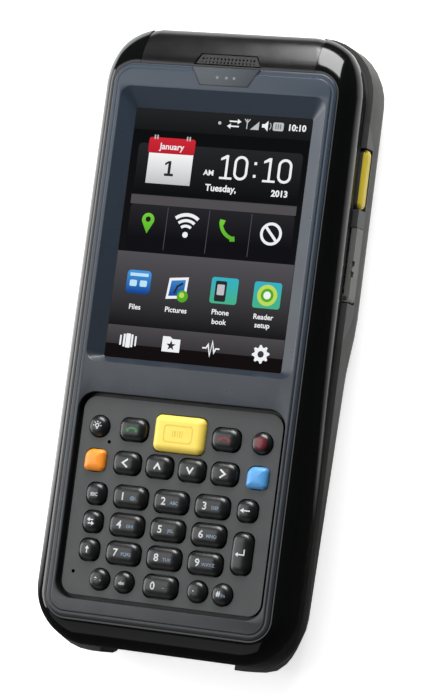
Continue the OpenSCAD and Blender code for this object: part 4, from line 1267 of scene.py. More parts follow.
@dataclass
class KeyPrint:
    """The printing of one key, drawn round the key's own middle.

    Pairs hold a value for wide keys and one for narrow keys.
    """

    spec: KeySpec
    hw: float
    wide_hw: float = 4.0
    thickness: float = 0.03
    fine: float = 0.45
    over: float = 0.004
    digit_x: Flat = (-1.75, -0.6)
    digit_y: float = 0.1
    digit_size: Flat = (2.1, 1.4)
    digit_weight: float = 0.05
    letters_x: Flat = (1.5, 0.9)
    letters_y: float = -0.25
    letters_size: float = 0.9
    letters_weight: float = 0.03
    side_chevron: Flat = (0.75, 1.15)
    side_w: float = 0.5
    end_chevron: Flat = (0.95, 0.8)
    end_w: float = 0.48
    arrow_w: float = 0.34
    head_hw: float = 0.62
    head_start: float = 0.4
    head_over: float = 0.35

    def __post_init__(self) -> None:
        """Starts the key's decal."""
        self.decal = Decal(self.spec.node + "_print", self.thickness, self.fine)

    def draw(self) -> Decal:
        """Draws the key's mark, if it has one.

        Returns:
            The printing.
        """
        marks = {
            Mark.LEFT: partial(self._sideways, -1),
            Mark.RIGHT: partial(self._sideways, 1),
            Mark.UP: partial(self._endways, 1),
            Mark.DOWN: partial(self._endways, -1),
            Mark.ENTER: self._enter,
            Mark.BACK: partial(self._arrow, 0.0, 1.3, -1),
            Mark.SHIFT: self._shift,
            Mark.TAB: self._tab,
            Mark.HANDSET: partial(self._handset, INK_GREEN),
            Mark.HANG_UP: partial(self._handset, INK_RED),
            Mark.LAMP: self._lamp,
            Mark.SCAN: self._scan,
            Mark.LETTERS: self._letters,
        }
        if self.spec.mark in marks:
            marks[self.spec.mark]()
        return self.decal

    def _letters(self) -> None:
        """A digit with its small letters beside it."""
        narrow = int(self.hw <= self.wide_hw)
        digit, letters = self.spec.digit, self.spec.letters
        if digit:
            self.decal.text(digit, self.digit_x[narrow], self.digit_y, self.digit_size[narrow], INK_GREY,
                            weight=self.digit_weight)
        if letters:
            x = 0.0 if narrow and not digit else self.letters_x[narrow]
            self.decal.text(letters, x, self.letters_y, self.letters_size, INK_BLUE if digit else INK_GREY,
                            weight=self.letters_weight)

    def _sideways(self, side: int) -> None:
        """A chevron that points left (-1) or right (1)."""
        x, y = self.side_chevron
        self.decal.polygon(stroke([(-side * x, y), (side * x, 0), (-side * x, -y)], self.side_w), INK_WHITE)

    def _endways(self, side: int) -> None:
        """A chevron that points down (-1) or up (1)."""
        x, y = self.end_chevron
        self.decal.polygon(stroke([(-x, -side * y), (0, side * y), (x, -side * y)], self.end_w), INK_WHITE)

    def _arrow(self, y: float, reach: float, side: int) -> None:
        """A straight arrow that points left (-1) or right (1).

        Args:
            y: Its place.
            reach: Half the length of its bar.
            side: Where it points.
        """
        self.decal.tile(-reach, y - self.arrow_w / 2, reach, y + self.arrow_w / 2, INK_WHITE)
        foot, tip, hw = side * reach * self.head_start, side * (reach + self.head_over), self.head_hw
        self.decal.polygon([(foot, y + hw), (tip, y), (foot, y - hw)], INK_WHITE, self.over)

    def _enter(self) -> None:
        """A bent arrow."""
        self.decal.polygon(stroke([(1.15, 1.2), (1.15, -0.3), (-0.7, -0.3)], self.arrow_w), INK_WHITE)
        self.decal.polygon([(-0.6, 0.35), (-1.45, -0.3), (-0.6, -0.95)], INK_WHITE, self.over)

    def _shift(self) -> None:
        """An arrow that points up."""
        self.decal.tile(-0.16, -0.95, 0.16, 0.5, INK_WHITE)
        self.decal.polygon([(-self.head_hw, 0.2), (self.head_hw, 0.2), (0, 1.05)], INK_WHITE, self.over)

    def _tab(self) -> None:
        """Two arrows, one over the other."""
        self._arrow(0.5, 0.75, -1)
        self._arrow(-0.55, 0.75, 1)

    def _handset(self, ink: Finish) -> None:
        """A lying telephone handset.

        Args:
            ink: Its colour.
        """
        self.decal.polygon(arc_band(0, -1.5, 1.9, 0.6, 45, 135), ink)
        for side in (-1, 1):
            self.decal.polygon(disc(side * 1.3, -0.28, 0.52, 10), ink, self.over)

    def _lamp(self) -> None:
        """A small lamp with rays."""
        self.decal.polygon(disc(0, 0.1, 0.62, 14), INK_WHITE, holes=[disc(0, 0.1, 0.36, 10)])
        self.decal.tile(-0.28, -0.85, 0.28, -0.55, INK_WHITE)
        for a in (0, 45, 90, 135, 180):
            self.decal.polygon(stroke([polar(0, 0.1, 0.85, a), polar(0, 0.1, 1.3, a)], 0.2), INK_WHITE)

    def _scan(self) -> None:
        """A frame with a few bars in it."""
        inner = panel(-4.05, -2.15, 4.05, 2.15, 0.8)
        self.decal.polygon(panel(-4.4, -2.5, 4.4, 2.5, 1.0), INK_AMBER, holes=[inner])
        for x, w in ((-1.6, 0.3), (-0.9, 0.5), (-0.1, 0.25), (0.6, 0.45), (1.3, 0.25)):
            self.decal.tile(x - w / 2, -0.9, x + w / 2, 0.9, INK_AMBER)


@dataclass
class Key:
    """A pillow-shaped key with its printing."""

    spec: KeySpec
    flange: float = 0.55
    flange_t: float = 0.7
    shoulder_z: float = 28.45
    top_z: float = 30.3
    crown_share: float = 0.97
    crown_steps: int = 12
    corner_steps: int = 8
    round_gap: float = 0.01
    ring_share: float = 0.6
    sharp: float = 50.0

    def __post_init__(self) -> None:
        """Takes the key's place and size from its node."""
        low, high = node_box(self.spec.node)
        shape = self.spec.form.value
        self.low_z = low.z
        self.x, self.y = (low.x + high.x) / 2, (low.y + high.y) / 2
        hw, hl = (high.x - low.x) / 2 - self.flange, (high.y - low.y) / 2 - self.flange
        corner = shape.corner or min(hw, hl) - self.round_gap
        self.outline = Round(hw, self.y - hl, self.y + hl, corner, self.x, shape.upper_left)
        self.power = shape.power
        self.reach = min(shape.crown, hw, hl)

    def height(self, x: float, y: float) -> float:
        """Height of the key's surface at a place."""
        return self._profile(self.outline.depth(x, y))

    def _profile(self, d: float) -> float:
        """Height of the surface at a distance from the key's edge."""
        share = shoulder(clamped(d / self.reach), self.power)
        return self.shoulder_z + (self.top_z - self.shoulder_z) * share

    def build(self) -> None:
        """Makes the key and its printing."""
        mount(self.cap(), self.spec.node, [self.spec.node])
        decal = KeyPrint(self.spec, self.outline.hw).draw()
        if decal.shapes:
            mount(decal.finish(self.height, (self.x, self.y)), self.spec.node)

    def cap(self) -> bpy.types.Object:
        """Makes the key's cap with its hidden flange.

        Returns:
            The cap.
        """
        wide, step_z = self.outline.inset(-self.flange), self.low_z + self.flange_t
        rows = [(wide, self.low_z), (wide, step_z), (self.outline, step_z)]
        rows += [(self.outline.inset(d), self._profile(d))
                 for d in closing_in(self.reach * self.crown_share, self.crown_steps)]
        solid = Solid()
        solid.block([outline.ring(z, self.corner_steps) for outline, z in rows])
        finishes = [self.spec.finish]
        if self.spec.ringed:
            finishes = [KEY_BLACK, self.spec.finish]
            lit = self.outline.hw * self.ring_share
            for face in solid.bm.faces:
                middle = face.calc_center_median()
                inside = math.hypot(middle.x - self.x, middle.y - self.y) < lit
                face.material_index = int(inside and middle.z > self.shoulder_z)
        return solid.finish(self.spec.node + "_cap", finishes, self.sharp)


# ---------------------------------------------------------------- the display

@dataclass
class Display:
    """The lit picture on the display glass, with a plain desktop of clock, calendar and tools.

    Places are measured from the picture's middle. The number after a finish is the shape's height over the
    ground: shapes that cover each other lie at different heights.
    """

    x: float = 0.0
    y: float = 29.0
    surface: float = 27.0
    gap: float = 0.01
    hw: float = 26.8
    hl: float = 35.7
    status_y: float = 32.9
    clock_y: float = 20.5
    date_y: float = 14.1
    bar_y: float = -30.7
    decal: Decal = field(default_factory=lambda: Decal("display_picture", 0.012))

    def build(self) -> None:
        """Makes the picture."""
        for draw in (self._ground, self._status, self._calendar, self._clock, self._switches, self._tools,
                     self._bar):
            draw()
        piece = self.decal.finish(lambda x, y: self.surface + self.gap, (self.x, self.y))
        mount(piece, ROOT)

    def _ground(self) -> None:
        """Dark ground, panels and shelves."""
        d, hw, hl = self.decal, self.hw, self.hl
        d.tile(-hw, -hl, hw, hl, LIT_BASE)
        d.tile(-hw, 29.6, hw, hl, LIT_STATUS, 0.02)
        d.tile(-24.6, 11.4, 25.3, 25.8, LIT_PANEL, 0.02, 1.2)
        d.tile(-24.9, 8.3, 25.3, 11.0, LIT_SHELF, 0.02)
        d.tile(-24.7, -4.9, 25.2, 8.3, LIT_ROW, 0.04, 1.2)
        d.tile(-hw, -26.4, hw, -5.4, LIT_BAND, 0.02)
        d.tile(-hw, -31.8, hw, -26.5, LIT_BAR, 0.02)
        d.tile(-hw, -hl, hw, -31.8, LIT_FOOT, 0.02)
        for x in (-13.1, -0.4, 12.4):
            d.tile(x - 0.09, -4.3, x + 0.09, 7.9, LIT_DIM, 0.06)

    def _status(self) -> None:
        """Small signs along the upper edge."""
        d, y = self.decal, self.status_y
        d.polygon(disc(-0.9, y, 0.5, 8), LIT_GREY, 0.04)
        for side, row in ((1, y + 0.7), (-1, y - 0.7)):
            d.tile(2.0, row - 0.2, 5.0, row + 0.2, LIT_WHITE, 0.04)
            tip = 3.5 + side * 2.1
            foot = tip - side * 1.1
            d.polygon([(foot, row + 0.75), (tip, row), (foot, row - 0.75)], LIT_WHITE, 0.055)
        d.polygon(stroke([(6.6, y + 1.6), (7.4, y + 0.6), (8.2, y + 1.6)], 0.3), LIT_GREY, 0.04)
        d.polygon(stroke([(7.4, y + 1.6), (7.4, y - 1.2)], 0.3), LIT_GREY, 0.05)
        d.polygon([(8.4, y - 1.3), (11.0, y - 1.3), (11.0, y + 1.1)], LIT_GREY, 0.04)
        horn = ((11.9, -0.5), (12.7, -0.5), (13.7, -1.5), (13.7, 1.5), (12.7, 0.5), (11.9, 0.5))
        d.polygon([(x, y + up) for x, up in horn], LIT_WHITE, 0.04)
        d.polygon(arc_band(13.3, y, 1.3, 0.22, -45, 45, 6), LIT_GREY, 0.04)
        d.tile(15.2, y - 1.2, 18.4, y + 1.2, LIT_GREY, 0.04, 0.5)
        for x in (16.1, 16.8, 17.5):
            d.tile(x - 0.12, y - 0.7, x + 0.12, y + 0.7, LIT_DIM, 0.06)
        d.text("10:10", 22.6, y, 1.75, LIT_WHITE, 0.04, 0.08)

    def _calendar(self) -> None:
        """A leaf of a calendar."""
        d = self.decal
        d.tile(-21.2, 14.4, -7.6, 23.2, LIT_PAPER, 0.05)
        d.tile(-21.6, 23.1, -7.4, 27.6, LIT_RED, 0.06, 0.7)
        for x in (-19.9, -19.1, -10.0, -9.2):
            d.tile(x - 0.2, 27.1, x + 0.2, 28.3, LIT_GREY, 0.08)
        d.text("January", -14.5, 24.9, 1.75, LIT_WHITE, 0.08, 0.05)
        self._one((-14.4, 18.9), 4.3, 0.85, LIT_INK, 0.07)
        d.polygon([(-9.4, 14.4), (-7.6, 14.4), (-7.6, 16.0)], LIT_GREY, 0.065)

    def _clock(self) -> None:
        """Time and date."""
        d, y = self.decal, self.clock_y
        for x in (2.9, 15.9):
            self._one((x, y), 6.9, 0.72, LIT_WHITE, 0.04)
        for x in (7.2, 20.4):
            self._zero((x, y), 4.2, 6.9, 0.74)
        for dot in (18.5, 22.1):
            d.tile(11.1, dot - 0.4, 11.9, dot + 0.4, LIT_WHITE, 0.04)
        d.text("AM", -2.4, 18.6, 1.5, LIT_WHITE, 0.04, 0.06)
        d.text("Tuesday,", 1.9, self.date_y, 1.85, LIT_WHITE, 0.04, 0.07)
        d.text("2013", 19.6, self.date_y, 1.75, LIT_WHITE, 0.04, 0.09)

    def _one(self, middle: Flat, size: float, weight: float, finish: Glow, level: float) -> None:
        """Draws a 1 with its flag and foot.

        Args:
            middle: Place of its middle.
            size: Its height.
            weight: Width of its strokes.
            finish: Its finish.
            level: Height over the ground.
        """
        (x, y), h, w = middle, size / 2, weight / 2
        flag_x, flag_y = x - w - size * 0.23, y + h * 0.72
        stem = [(x - w, y - h), (x + w, y - h), (x + w, y + h), (x - w, y + h)]
        flag = [(flag_x, flag_y), (flag_x, flag_y - weight * 0.9), (x - w, y + h * 0.7)]
        self.decal.polygon(stem + flag, finish, level)
        foot = size * 0.22 + w
        self.decal.tile(x - foot, y - h, x + foot, y - h + weight * 0.85, finish, level + 0.015)

    def _zero(self, middle: Flat, width: float, height: float, weight: float) -> None:
        """Draws a 0.

        Args:
            middle: Place of its middle.
            width: Its width.
            height: Its height.
            weight: Width of its stroke.
        """
        (x, y), hw, h, corner = middle, width / 2, height / 2, width * 0.49
        outer, inner = (panel(x - hw + d, y - h + d, x + hw - d, y + h - d, corner - d, 9)
                        for d in (0.0, weight))
        self.decal.polygon(outer, LIT_WHITE, 0.04, [inner])

    def _switches(self) -> None:
        """The row of four signs: a place, a radio, a telephone and a turned-off ring."""
        d = self.decal
        drop = disc(-18.8, 4.0, 1.9, 16, -35, 215) + [(-18.8, 0.0)]
        d.polygon(drop, LIT_GREEN, 0.06, [disc(-18.8, 4.1, 0.8, 12)])
        for r, w in ((5.6, 1.0), (3.95, 0.85), (2.4, 0.8)):
            d.polygon(arc_band(-7.0, 0.6, r, w, 52, 128, 8), LIT_WHITE, 0.06)
        d.polygon(disc(-7.0, 0.5, 0.85, 12), LIT_WHITE, 0.06)
        d.polygon(arc_band(8.3, 5.3, 4.9, 1.05, 182, 262, 9), LIT_GREEN, 0.06)
        for x, y, a in ((3.75, 5.0, 80), (7.35, 0.35, 10)):
            corners = [math.radians(a + q) for q in (-140, -50, 50, 140)]
            d.polygon([(x + 1.1 * math.cos(c), y + 0.95 * math.sin(c)) for c in corners], LIT_GREEN, 0.07)
        d.polygon(disc(18.7, 2.7, 3.25, 28), LIT_WHITE, 0.06, [disc(18.7, 2.7, 2.45, 24)])
        d.polygon(stroke([(17.0, 4.6), (20.4, 0.8)], 0.8), LIT_WHITE, 0.07)

    def _tools(self) -> None:
        """Four coloured signs with their names."""
        d = self.decal
        d.tile(-22.9, -17.2, -15.5, -10.6, LIT_BLUE, 0.05, 1.2)
        d.tile(-22.0, -12.3, -16.4, -11.4, LIT_SKY, 0.07)
        for x in (-20.8, -17.7):
            d.tile(x - 1.1, -15.2, x + 1.1, -13.4, LIT_SKY, 0.07, 0.4)
        d.polygon([(-10.4, -18.0), (-4.4, -17.4), (-4.1, -11.4), (-9.9, -12.0)], LIT_WHITE, 0.05)
        d.polygon([(-9.7, -17.1), (-5.1, -16.7), (-4.9, -12.2), (-9.2, -12.7)], LIT_BLUE, 0.07)
        d.polygon(stroke([(-8.0, -16.2), (-7.2, -14.2), (-5.6, -13.2)], 0.6), LIT_INK, 0.085)
        d.polygon(disc(-5.4, -16.9, 1.7, 16), LIT_GREEN, 0.09)
        d.polygon(disc(-5.6, -16.6, 0.8, 12), LIT_LIME, 0.105)
        d.tile(2.9, -18.0, 11.0, -10.6, LIT_TEAL, 0.05, 0.8)
        d.tile(4.2, -17.4, 7.6, -11.6, LIT_INK, 0.07, 0.5)
        d.tile(4.8, -15.6, 7.0, -12.6, LIT_PAPER, 0.085, 0.3)
        d.tile(15.8, -18.2, 24.0, -10.8, LIT_TEAL, 0.05, 0.8)
        for r, finish, level in ((3.0, LIT_LIME, 0.07), (1.9, LIT_GREEN, 0.085), (1.1, LIT_WHITE, 0.1)):
            d.polygon(disc(19.9, -14.5, r, 18), finish, level)
        for body, x, y in (("Files", -19.4, -21.0), ("Pictures", -6.8, -20.9), ("Phone", 6.6, -20.4),
                           ("book", 6.6, -23.1), ("Reader", 19.6, -20.6), ("setup", 19.5, -23.3)):
            d.text(body, x, y, 1.45, LIT_WHITE, 0.05, 0.04)

    def _bar(self) -> None:
        """Four white signs in the lower bar: a dumb-bell, a folder, a heartbeat and a gear."""
        d, y = self.decal, self.bar_y
        for x, w, h in ((-22.4, 0.5, 1.4), (-21.3, 0.6, 1.8), (-18.9, 0.6, 1.8), (-17.8, 0.5, 1.4)):
            d.tile(x - w / 2, y - h, x + w / 2, y + h, LIT_WHITE, 0.05)
        d.tile(-20.8, y - 2.0, -19.4, y + 2.0, LIT_WHITE, 0.05, 0.2)
        folder = ((-9.6, -2.1), (-4.2, -2.1), (-4.2, 1.6), (-6.6, 1.6), (-7.4, 2.2), (-9.6, 2.2))
        d.polygon([(x, y + up) for x, up in folder], LIT_WHITE, 0.05)
        star = [polar(-6.9, y - 0.3, 0.62 if i % 2 else 1.5, 90 + 36 * i) for i in range(10)]
        d.polygon(star, LIT_INK, 0.07)
        beat = ((2.6, 0), (3.7, 0), (4.3, 1.0), (5.0, -2.0), (5.5, 1.9), (6.2, -1.1), (6.7, 0), (7.8, 0))
        d.polygon(stroke([(x, y + up) for x, up in beat], 0.42), LIT_WHITE, 0.05)
        teeth = [polar(20.2, y - 0.3, 2.6 if i % 4 < 2 else 1.95, 360 / 32 * i) for i in range(32)]
        d.polygon(teeth, LIT_WHITE, 0.05, [disc(20.2, y - 0.3, 0.95, 14)])


# ---------------------------------------------------------------- copies of rigid nodes

@dataclass
class SoftenedNode:
    """A node's own shape with its edges rounded and its curved faces shaded smoothly."""

    node: str
    name: str
    body: str
    finish: Finish
    edge: float = 0.25
    segments: int = 2
    sharp: float = 34.0
    slim: bool = False
    # Height under which faces are painted black, as painted shade; 0 for none.
    painted_shade_below: float = 0.0
    weld: float = 0.002
    flat_angle: float = 1.0
    edge_angle: float = 40.0

    def build(self) -> None:
        """Makes the piece from a copy of the node."""
        bm = bmesh.new()
        bm.from_mesh(frame["nodes"][self.node].data)
        bmesh.ops.remove_doubles(bm, verts=bm.verts, dist=self.weld * MM)
        flat = math.radians(self.flat_angle)
        bmesh.ops.dissolve_limit(bm, angle_limit=flat, verts=bm.verts, edges=bm.edges)
        if self.slim:
            WAIST.shape_back(bm)
        piece = settle(outward_mesh(bm, self.name, 1.0), self.name, [self.finish], self.sharp)
        worked(piece, "BEVEL", width=self.edge * MM, segments=self.segments, limit_method="ANGLE",
               angle_limit=math.radians(self.edge_angle))
        smooth(piece.data, self.sharp)
        worked(piece, "WEIGHTED_NORMAL", keep_sharp=True)
        # Painted shade: faces lower than this height are painted deep black, for the shade in the gaps.
        if self.painted_shade_below:
            piece.data.materials.append(DEEP_BLACK.build())
            for face in piece.data.polygons:
                face.material_index = int(face.center.z < self.painted_shade_below * MM)
        mount(piece, self.body, [self.node])


SOFTENED = (
    SoftenedNode("rear_housing", "rear_shell", ROOT, SHELL_GREY, 0.18, slim=True),
    SoftenedNode("rubber_bumper", "bumper", ROOT, BUMPER, 0.4, 3, slim=True),
    SoftenedNode("battery_cover", "battery_lid", "battery_cover", SHELL_GREY, 0.2),
    SoftenedNode("battery_latch", "latch_slider", "battery_latch", LATCH, 0.2),
    SoftenedNode("port_cover", "port_flap", "port_cover", PORT, 0.22, 3),
    # The keypad panel's faces in the gaps round the keys are painted black: painted shade.
    SoftenedNode("keypad_plate", "keypad_panel", ROOT, PLATE_GREY, 0.18, 1, 8.0, painted_shade_below=28.0),
)


@dataclass
class Trigger:
    """A side trigger: a yellow pad with a raised middle, on a dark flange inside the shell."""

    node: str
    side: int
    flange_r: float = 0.5
    flange_t: float = 0.95
    half_l: float = 8.5
    corner: float = 1.9
    low_trim: float = 0.15
    high_trim: float = 0.45
    root_x: float = 38.3
    edge_x: float = 38.95
    face_x: float = 40.2
    peak_x: float = 40.78
    bump: Flat = (1.9, 1.2)
    reach: float = 1.7
    power: float = 2.2
    crown_share: float = 0.96
    rings: int = 9
    sharp: float = 50.0

    def build(self) -> None:
        """Makes the trigger on its own body."""
        mount(self.pad(), self.node, [self.node])

    def pad(self) -> bpy.types.Object:
        """Makes the pad and its flange as one closed mesh.

        Returns:
            The trigger.
        """
        low, high = node_box(self.node)
        inner = min(abs(low.x), abs(high.x))
        step = inner + self.flange_t
        middle, half = (low.y + high.y) / 2, (high.y - low.y) / 2

        def lying(z0: float, z1: float, half_l: float, r: float) -> Round:
            """An outline between two heights, which are its x."""
            return Round((z1 - z0) / 2, middle - half_l, middle + half_l, r, (z0 + z1) / 2)

        flange = lying(low.z, high.z, half, self.flange_r)
        pad = lying(low.z + self.low_trim, high.z - self.high_trim, self.half_l, self.corner)
        rows = [(flange, inner), (flange, step), (pad, step), (pad, self.edge_x)]
        rows += [(pad.inset(d), None) for d in closing_in(self.reach * self.crown_share, self.rings)]
        solid = Solid()
        solid.block([[self._point(p, x, pad) for p in outline.ring(0)] for outline, x in rows])
        for face in solid.bm.faces:
            face.material_index = int(abs(face.calc_center_median().x) < self.root_x)
        return solid.finish(self.node + "_pad", [YELLOW, SHELL_GREY], self.sharp)

    def _point(self, p: Vector, x: float | None, pad: Round) -> Vector:
        """Stands a point of an outline up on the side of the body.

        Args:
            p: The point; its x is the height.
            x: How far out it lies, or None for the crowned face.
            pad: Outline of the pad.

        Returns:
            The point on the trigger.
        """
        if x is None:
            share = clamped(pad.depth(p.x, p.y) / self.reach)
            x = self.edge_x + (self.face_x - self.edge_x) * shoulder(share, self.power)
            along = (p.y - (pad.y0 + pad.y1) / 2) / self.bump[0]
            across = (p.x - pad.x) / self.bump[1]
            x += (self.peak_x - self.face_x) * math.exp(-along ** 2 - across ** 2) * share
        return Vector((self.side * x, p.y, p.x))


# ---------------------------------------------------------------- repeated pieces

class Pattern(Nodes):
    """A Geometry Nodes tree that sets copies of a shape on points, with named inputs for its sizes."""

    def __init__(self, name: str) -> None:
        """Starts a tree with geometry in and out.

        Args:
            name: Name of the tree.
        """
        super().__init__(bpy.data.node_groups.new(name, "GeometryNodeTree"))
        for way in ("OUTPUT", "INPUT"):
            self.tree.interface.new_socket("Geometry", in_out=way, socket_type="NodeSocketGeometry")
        self.source = self.add("NodeGroupInput")
        self.sink = self.add("NodeGroupOutput")
        self.sizes: dict[str, float] = {}

    def size(self, name: str, value: float) -> Socket:
        """Adds a named input for a size.

        Args:
            name: Name of the input.
            value: The size, in millimetres.

        Returns:
            The input's socket in the tree.
        """
        self.sizes[name] = value * MM
        self.tree.interface.new_socket(name, in_out="INPUT", socket_type="NodeSocketFloat")
        return self.source.outputs[name]

    def rod(self, facets: int, radius: Socket | float, length: Socket | float) -> Socket:
        """A cylinder or a prism along Z."""
        inputs = {"Vertices": facets, "Radius": radius, "Depth": length}
        return self.add("GeometryNodeMeshCylinder", inputs).outputs["Mesh"]

    def moved(self, shape: Socket, shift: Socket | Place) -> Socket:
        """A shape at another place."""
        return self.add("GeometryNodeTransform", {"Geometry": shape, "Translation": shift}).outputs[0]

    def grow(self, name: str, shape: Socket, points: Sequence[Place], finish: Finish,
             turn: Place = (0.0, 0.0, 0.0)) -> bpy.types.Object:
        """Sets the shape on points and keeps the result as a plain piece.

        Args:
            name: Name of the piece.
            shape: One copy.
            points: Places of the copies, in millimetres.
            finish: The piece's finish.
            turn: Turn of each copy, in radians.

        Returns:
            The piece.
        """
        inputs = {"Points": self.source.outputs["Geometry"], "Instance": shape, "Rotation": turn}
        placed = self.add("GeometryNodeInstanceOnPoints", inputs)
        real = self.add("GeometryNodeRealizeInstances", {"Geometry": placed.outputs[0]})
        inputs = {"Geometry": real.outputs[0], "Material": finish.build()}
        self.feed(self.sink, {0: self.add("GeometryNodeSetMaterial", inputs).outputs[0]})
        places = bpy.data.meshes.new(name + "_places")
        places.from_pydata([[c * MM for c in p] for p in points], [], [])
        holder = linked(name, places)
        modifier = holder.modifiers.new("pattern", "NODES")
        modifier.node_group = self.tree
        for item in self.tree.interface.items_tree:
            if item.in_out == "INPUT" and item.name in self.sizes:
                modifier[item.identifier] = self.sizes[item.name]
        mesh = plain_mesh(holder)
        bpy.data.objects.remove(holder)
        return settle(mesh, name, [finish])


@dataclass
class Screws:
    """The four screws in the back, with hexagonal sockets.

    shank_place is the middle of the shank as a share of the screw's length over the middle of the head:
    just under a half, so that the shank reaches a little into the head.
    """

    head_r: float = 2.4
    head_h: float = 1.7
    head_facets: int = 32
    socket_r: float = 1.1
    socket_h: float = 1.6
    socket_facets: int = 6
    low_z: float = 0.9
    shank_r: float = 1.25
    shank_top: float = 23.5
    shank_facets: int = 20
    shank_place: float = 0.499
    inset_x: float = 24.0
    rows: Flat = (-77.5, 75.5)

    def build(self) -> None:
        """Makes the screws."""
        pattern = Pattern("screw_pattern")
        radius, height = pattern.size("Head radius", self.head_r), pattern.size("Head height", self.head_h)
        shank = pattern.size("Shank radius", self.shank_r)
        length = pattern.size("Shank length", self.shank_top - self.low_z - self.head_h)
        width = pattern.size("Socket radius", self.socket_r)
        depth = pattern.size("Socket height", self.socket_h)
        sunk = pattern.moved(pattern.rod(self.socket_facets, width, depth), (0, 0, -self.head_h / 2 * MM))
        solids = {"Mesh 1": pattern.rod(self.head_facets, radius, height), "Mesh 2": sunk}
        hollow = pattern.add("GeometryNodeMeshBoolean", solids, operation="DIFFERENCE")
        rise = pattern.maths("MULTIPLY", pattern.maths("ADD", height, length), self.shank_place)
        shift = pattern.add("ShaderNodeCombineXYZ", {"Z": rise})
        raised = pattern.moved(pattern.rod(self.shank_facets, shank, length), shift.outputs[0])
        whole = pattern.add("GeometryNodeJoinGeometry", {0: hollow.outputs[0]})
        pattern.feed(whole, {0: raised})
        z = self.low_z + self.head_h / 2
        points = [(x, y, z) for x in (-self.inset_x, self.inset_x) for y in self.rows]
        piece = pattern.grow("case_screws", whole.outputs[0], points, SCREW)
        mount(piece, ROOT, ["housing_screws"])


@dataclass
class Grille:
    """Raised rims round the holes of the earpiece grille; every second row is shifted by half a pitch."""

    pitch: float = 1.15
    rows: int = 3
    row_share: float = 0.87
    low_y: float = 78.55
    low_hw: float = 7.6
    narrowing: float = 0.4
    plate_t: float = 1.2
    rim_r: float = 0.3
    rim_h: float = 0.1
    rim_facets: int = 8
    lift: float = 0.05

    def build(self) -> None:
        """Makes the rims on the grille's tilted plate."""
        low, high = node_box("earpiece_grille")
        tilt = math.atan2(high.z - low.z - self.plate_t, high.y - low.y)
        pattern = Pattern("rim_pattern")
        radius, height = pattern.size("Rim radius", self.rim_r), pattern.size("Rim height", self.rim_h)
        rim = pattern.rod(self.rim_facets, radius, height)
        points = []
        for row in range(self.rows):
            shifted = row % 2
            y = self.low_y + row * self.pitch * self.row_share
            z = high.z - (y - low.y) * math.tan(tilt) + self.lift
            count = int(2 * (self.low_hw - row * self.narrowing) / self.pitch)
            points += [((i - count / 2 + shifted / 2) * self.pitch, y, z)
                       for i in range(count + 1 - shifted)]
        mount(pattern.grow("grille_rims", rim, points, RIM_GREY, (-tilt, 0, 0)), ROOT)


@dataclass
class LatchRibs:
    """Grip ribs on the battery latch."""

    ribs: int = 4
    pitch: float = 1.2
    length: float = 10.0
    width: float = 0.5
    height: float = 0.5
    from_edge: float = 3.25
    lift: float = 0.05

    def build(self) -> None:
        """Makes the ribs on the latch's outer face."""
        low, high = node_box("battery_latch")
        pattern = Pattern("rib_pattern")
        size = pattern.add("ShaderNodeCombineXYZ", {
            "X": pattern.size("Rib length", self.length), "Y": pattern.size("Rib width", self.width),
            "Z": pattern.size("Rib height", self.height)})
        rib = pattern.add("GeometryNodeMeshCube", {"Size": size.outputs[0]})
        middle, z = high.y - self.from_edge, low.z + self.lift
        points = [(0, middle + (i - (self.ribs - 1) / 2) * self.pitch, z) for i in range(self.ribs)]
        piece = pattern.grow("latch_ribs", rib.outputs["Mesh"], points, LATCH)
        mount(piece, "battery_latch")


# ---------------------------------------------------------------- plain nodes, studio

def dress_nodes() -> None:
    """Gives every node that stays visible the finish of its slot."""
    for row in frame["record"]["subparts"]:
        materials = frame["nodes"][row["node"]].data.materials
        materials.clear()
        materials.append(SLOT_FINISHES[row["material_slot"]].build())


@dataclass
class Lamp:
    """A soft rectangular lamp, in metres and watts, aimed at the object."""

    name: str
    place: Place
    size: Flat
    power: float
    aim: Place = (0.0, 0.0, 0.015)

    def build(self) -> None:
        """Puts the lamp in the scene."""
        data = bpy.data.lights.new(self.name, "AREA")
        data.shape = "RECTANGLE"
        data.size, data.size_y = self.size
        data.energy = self.power
        lamp = linked(self.name, data)
        lamp.location = self.place
        lamp.rotation_euler = (Vector(self.aim) - Vector(self.place)).to_track_quat("-Z", "Y").to_euler()


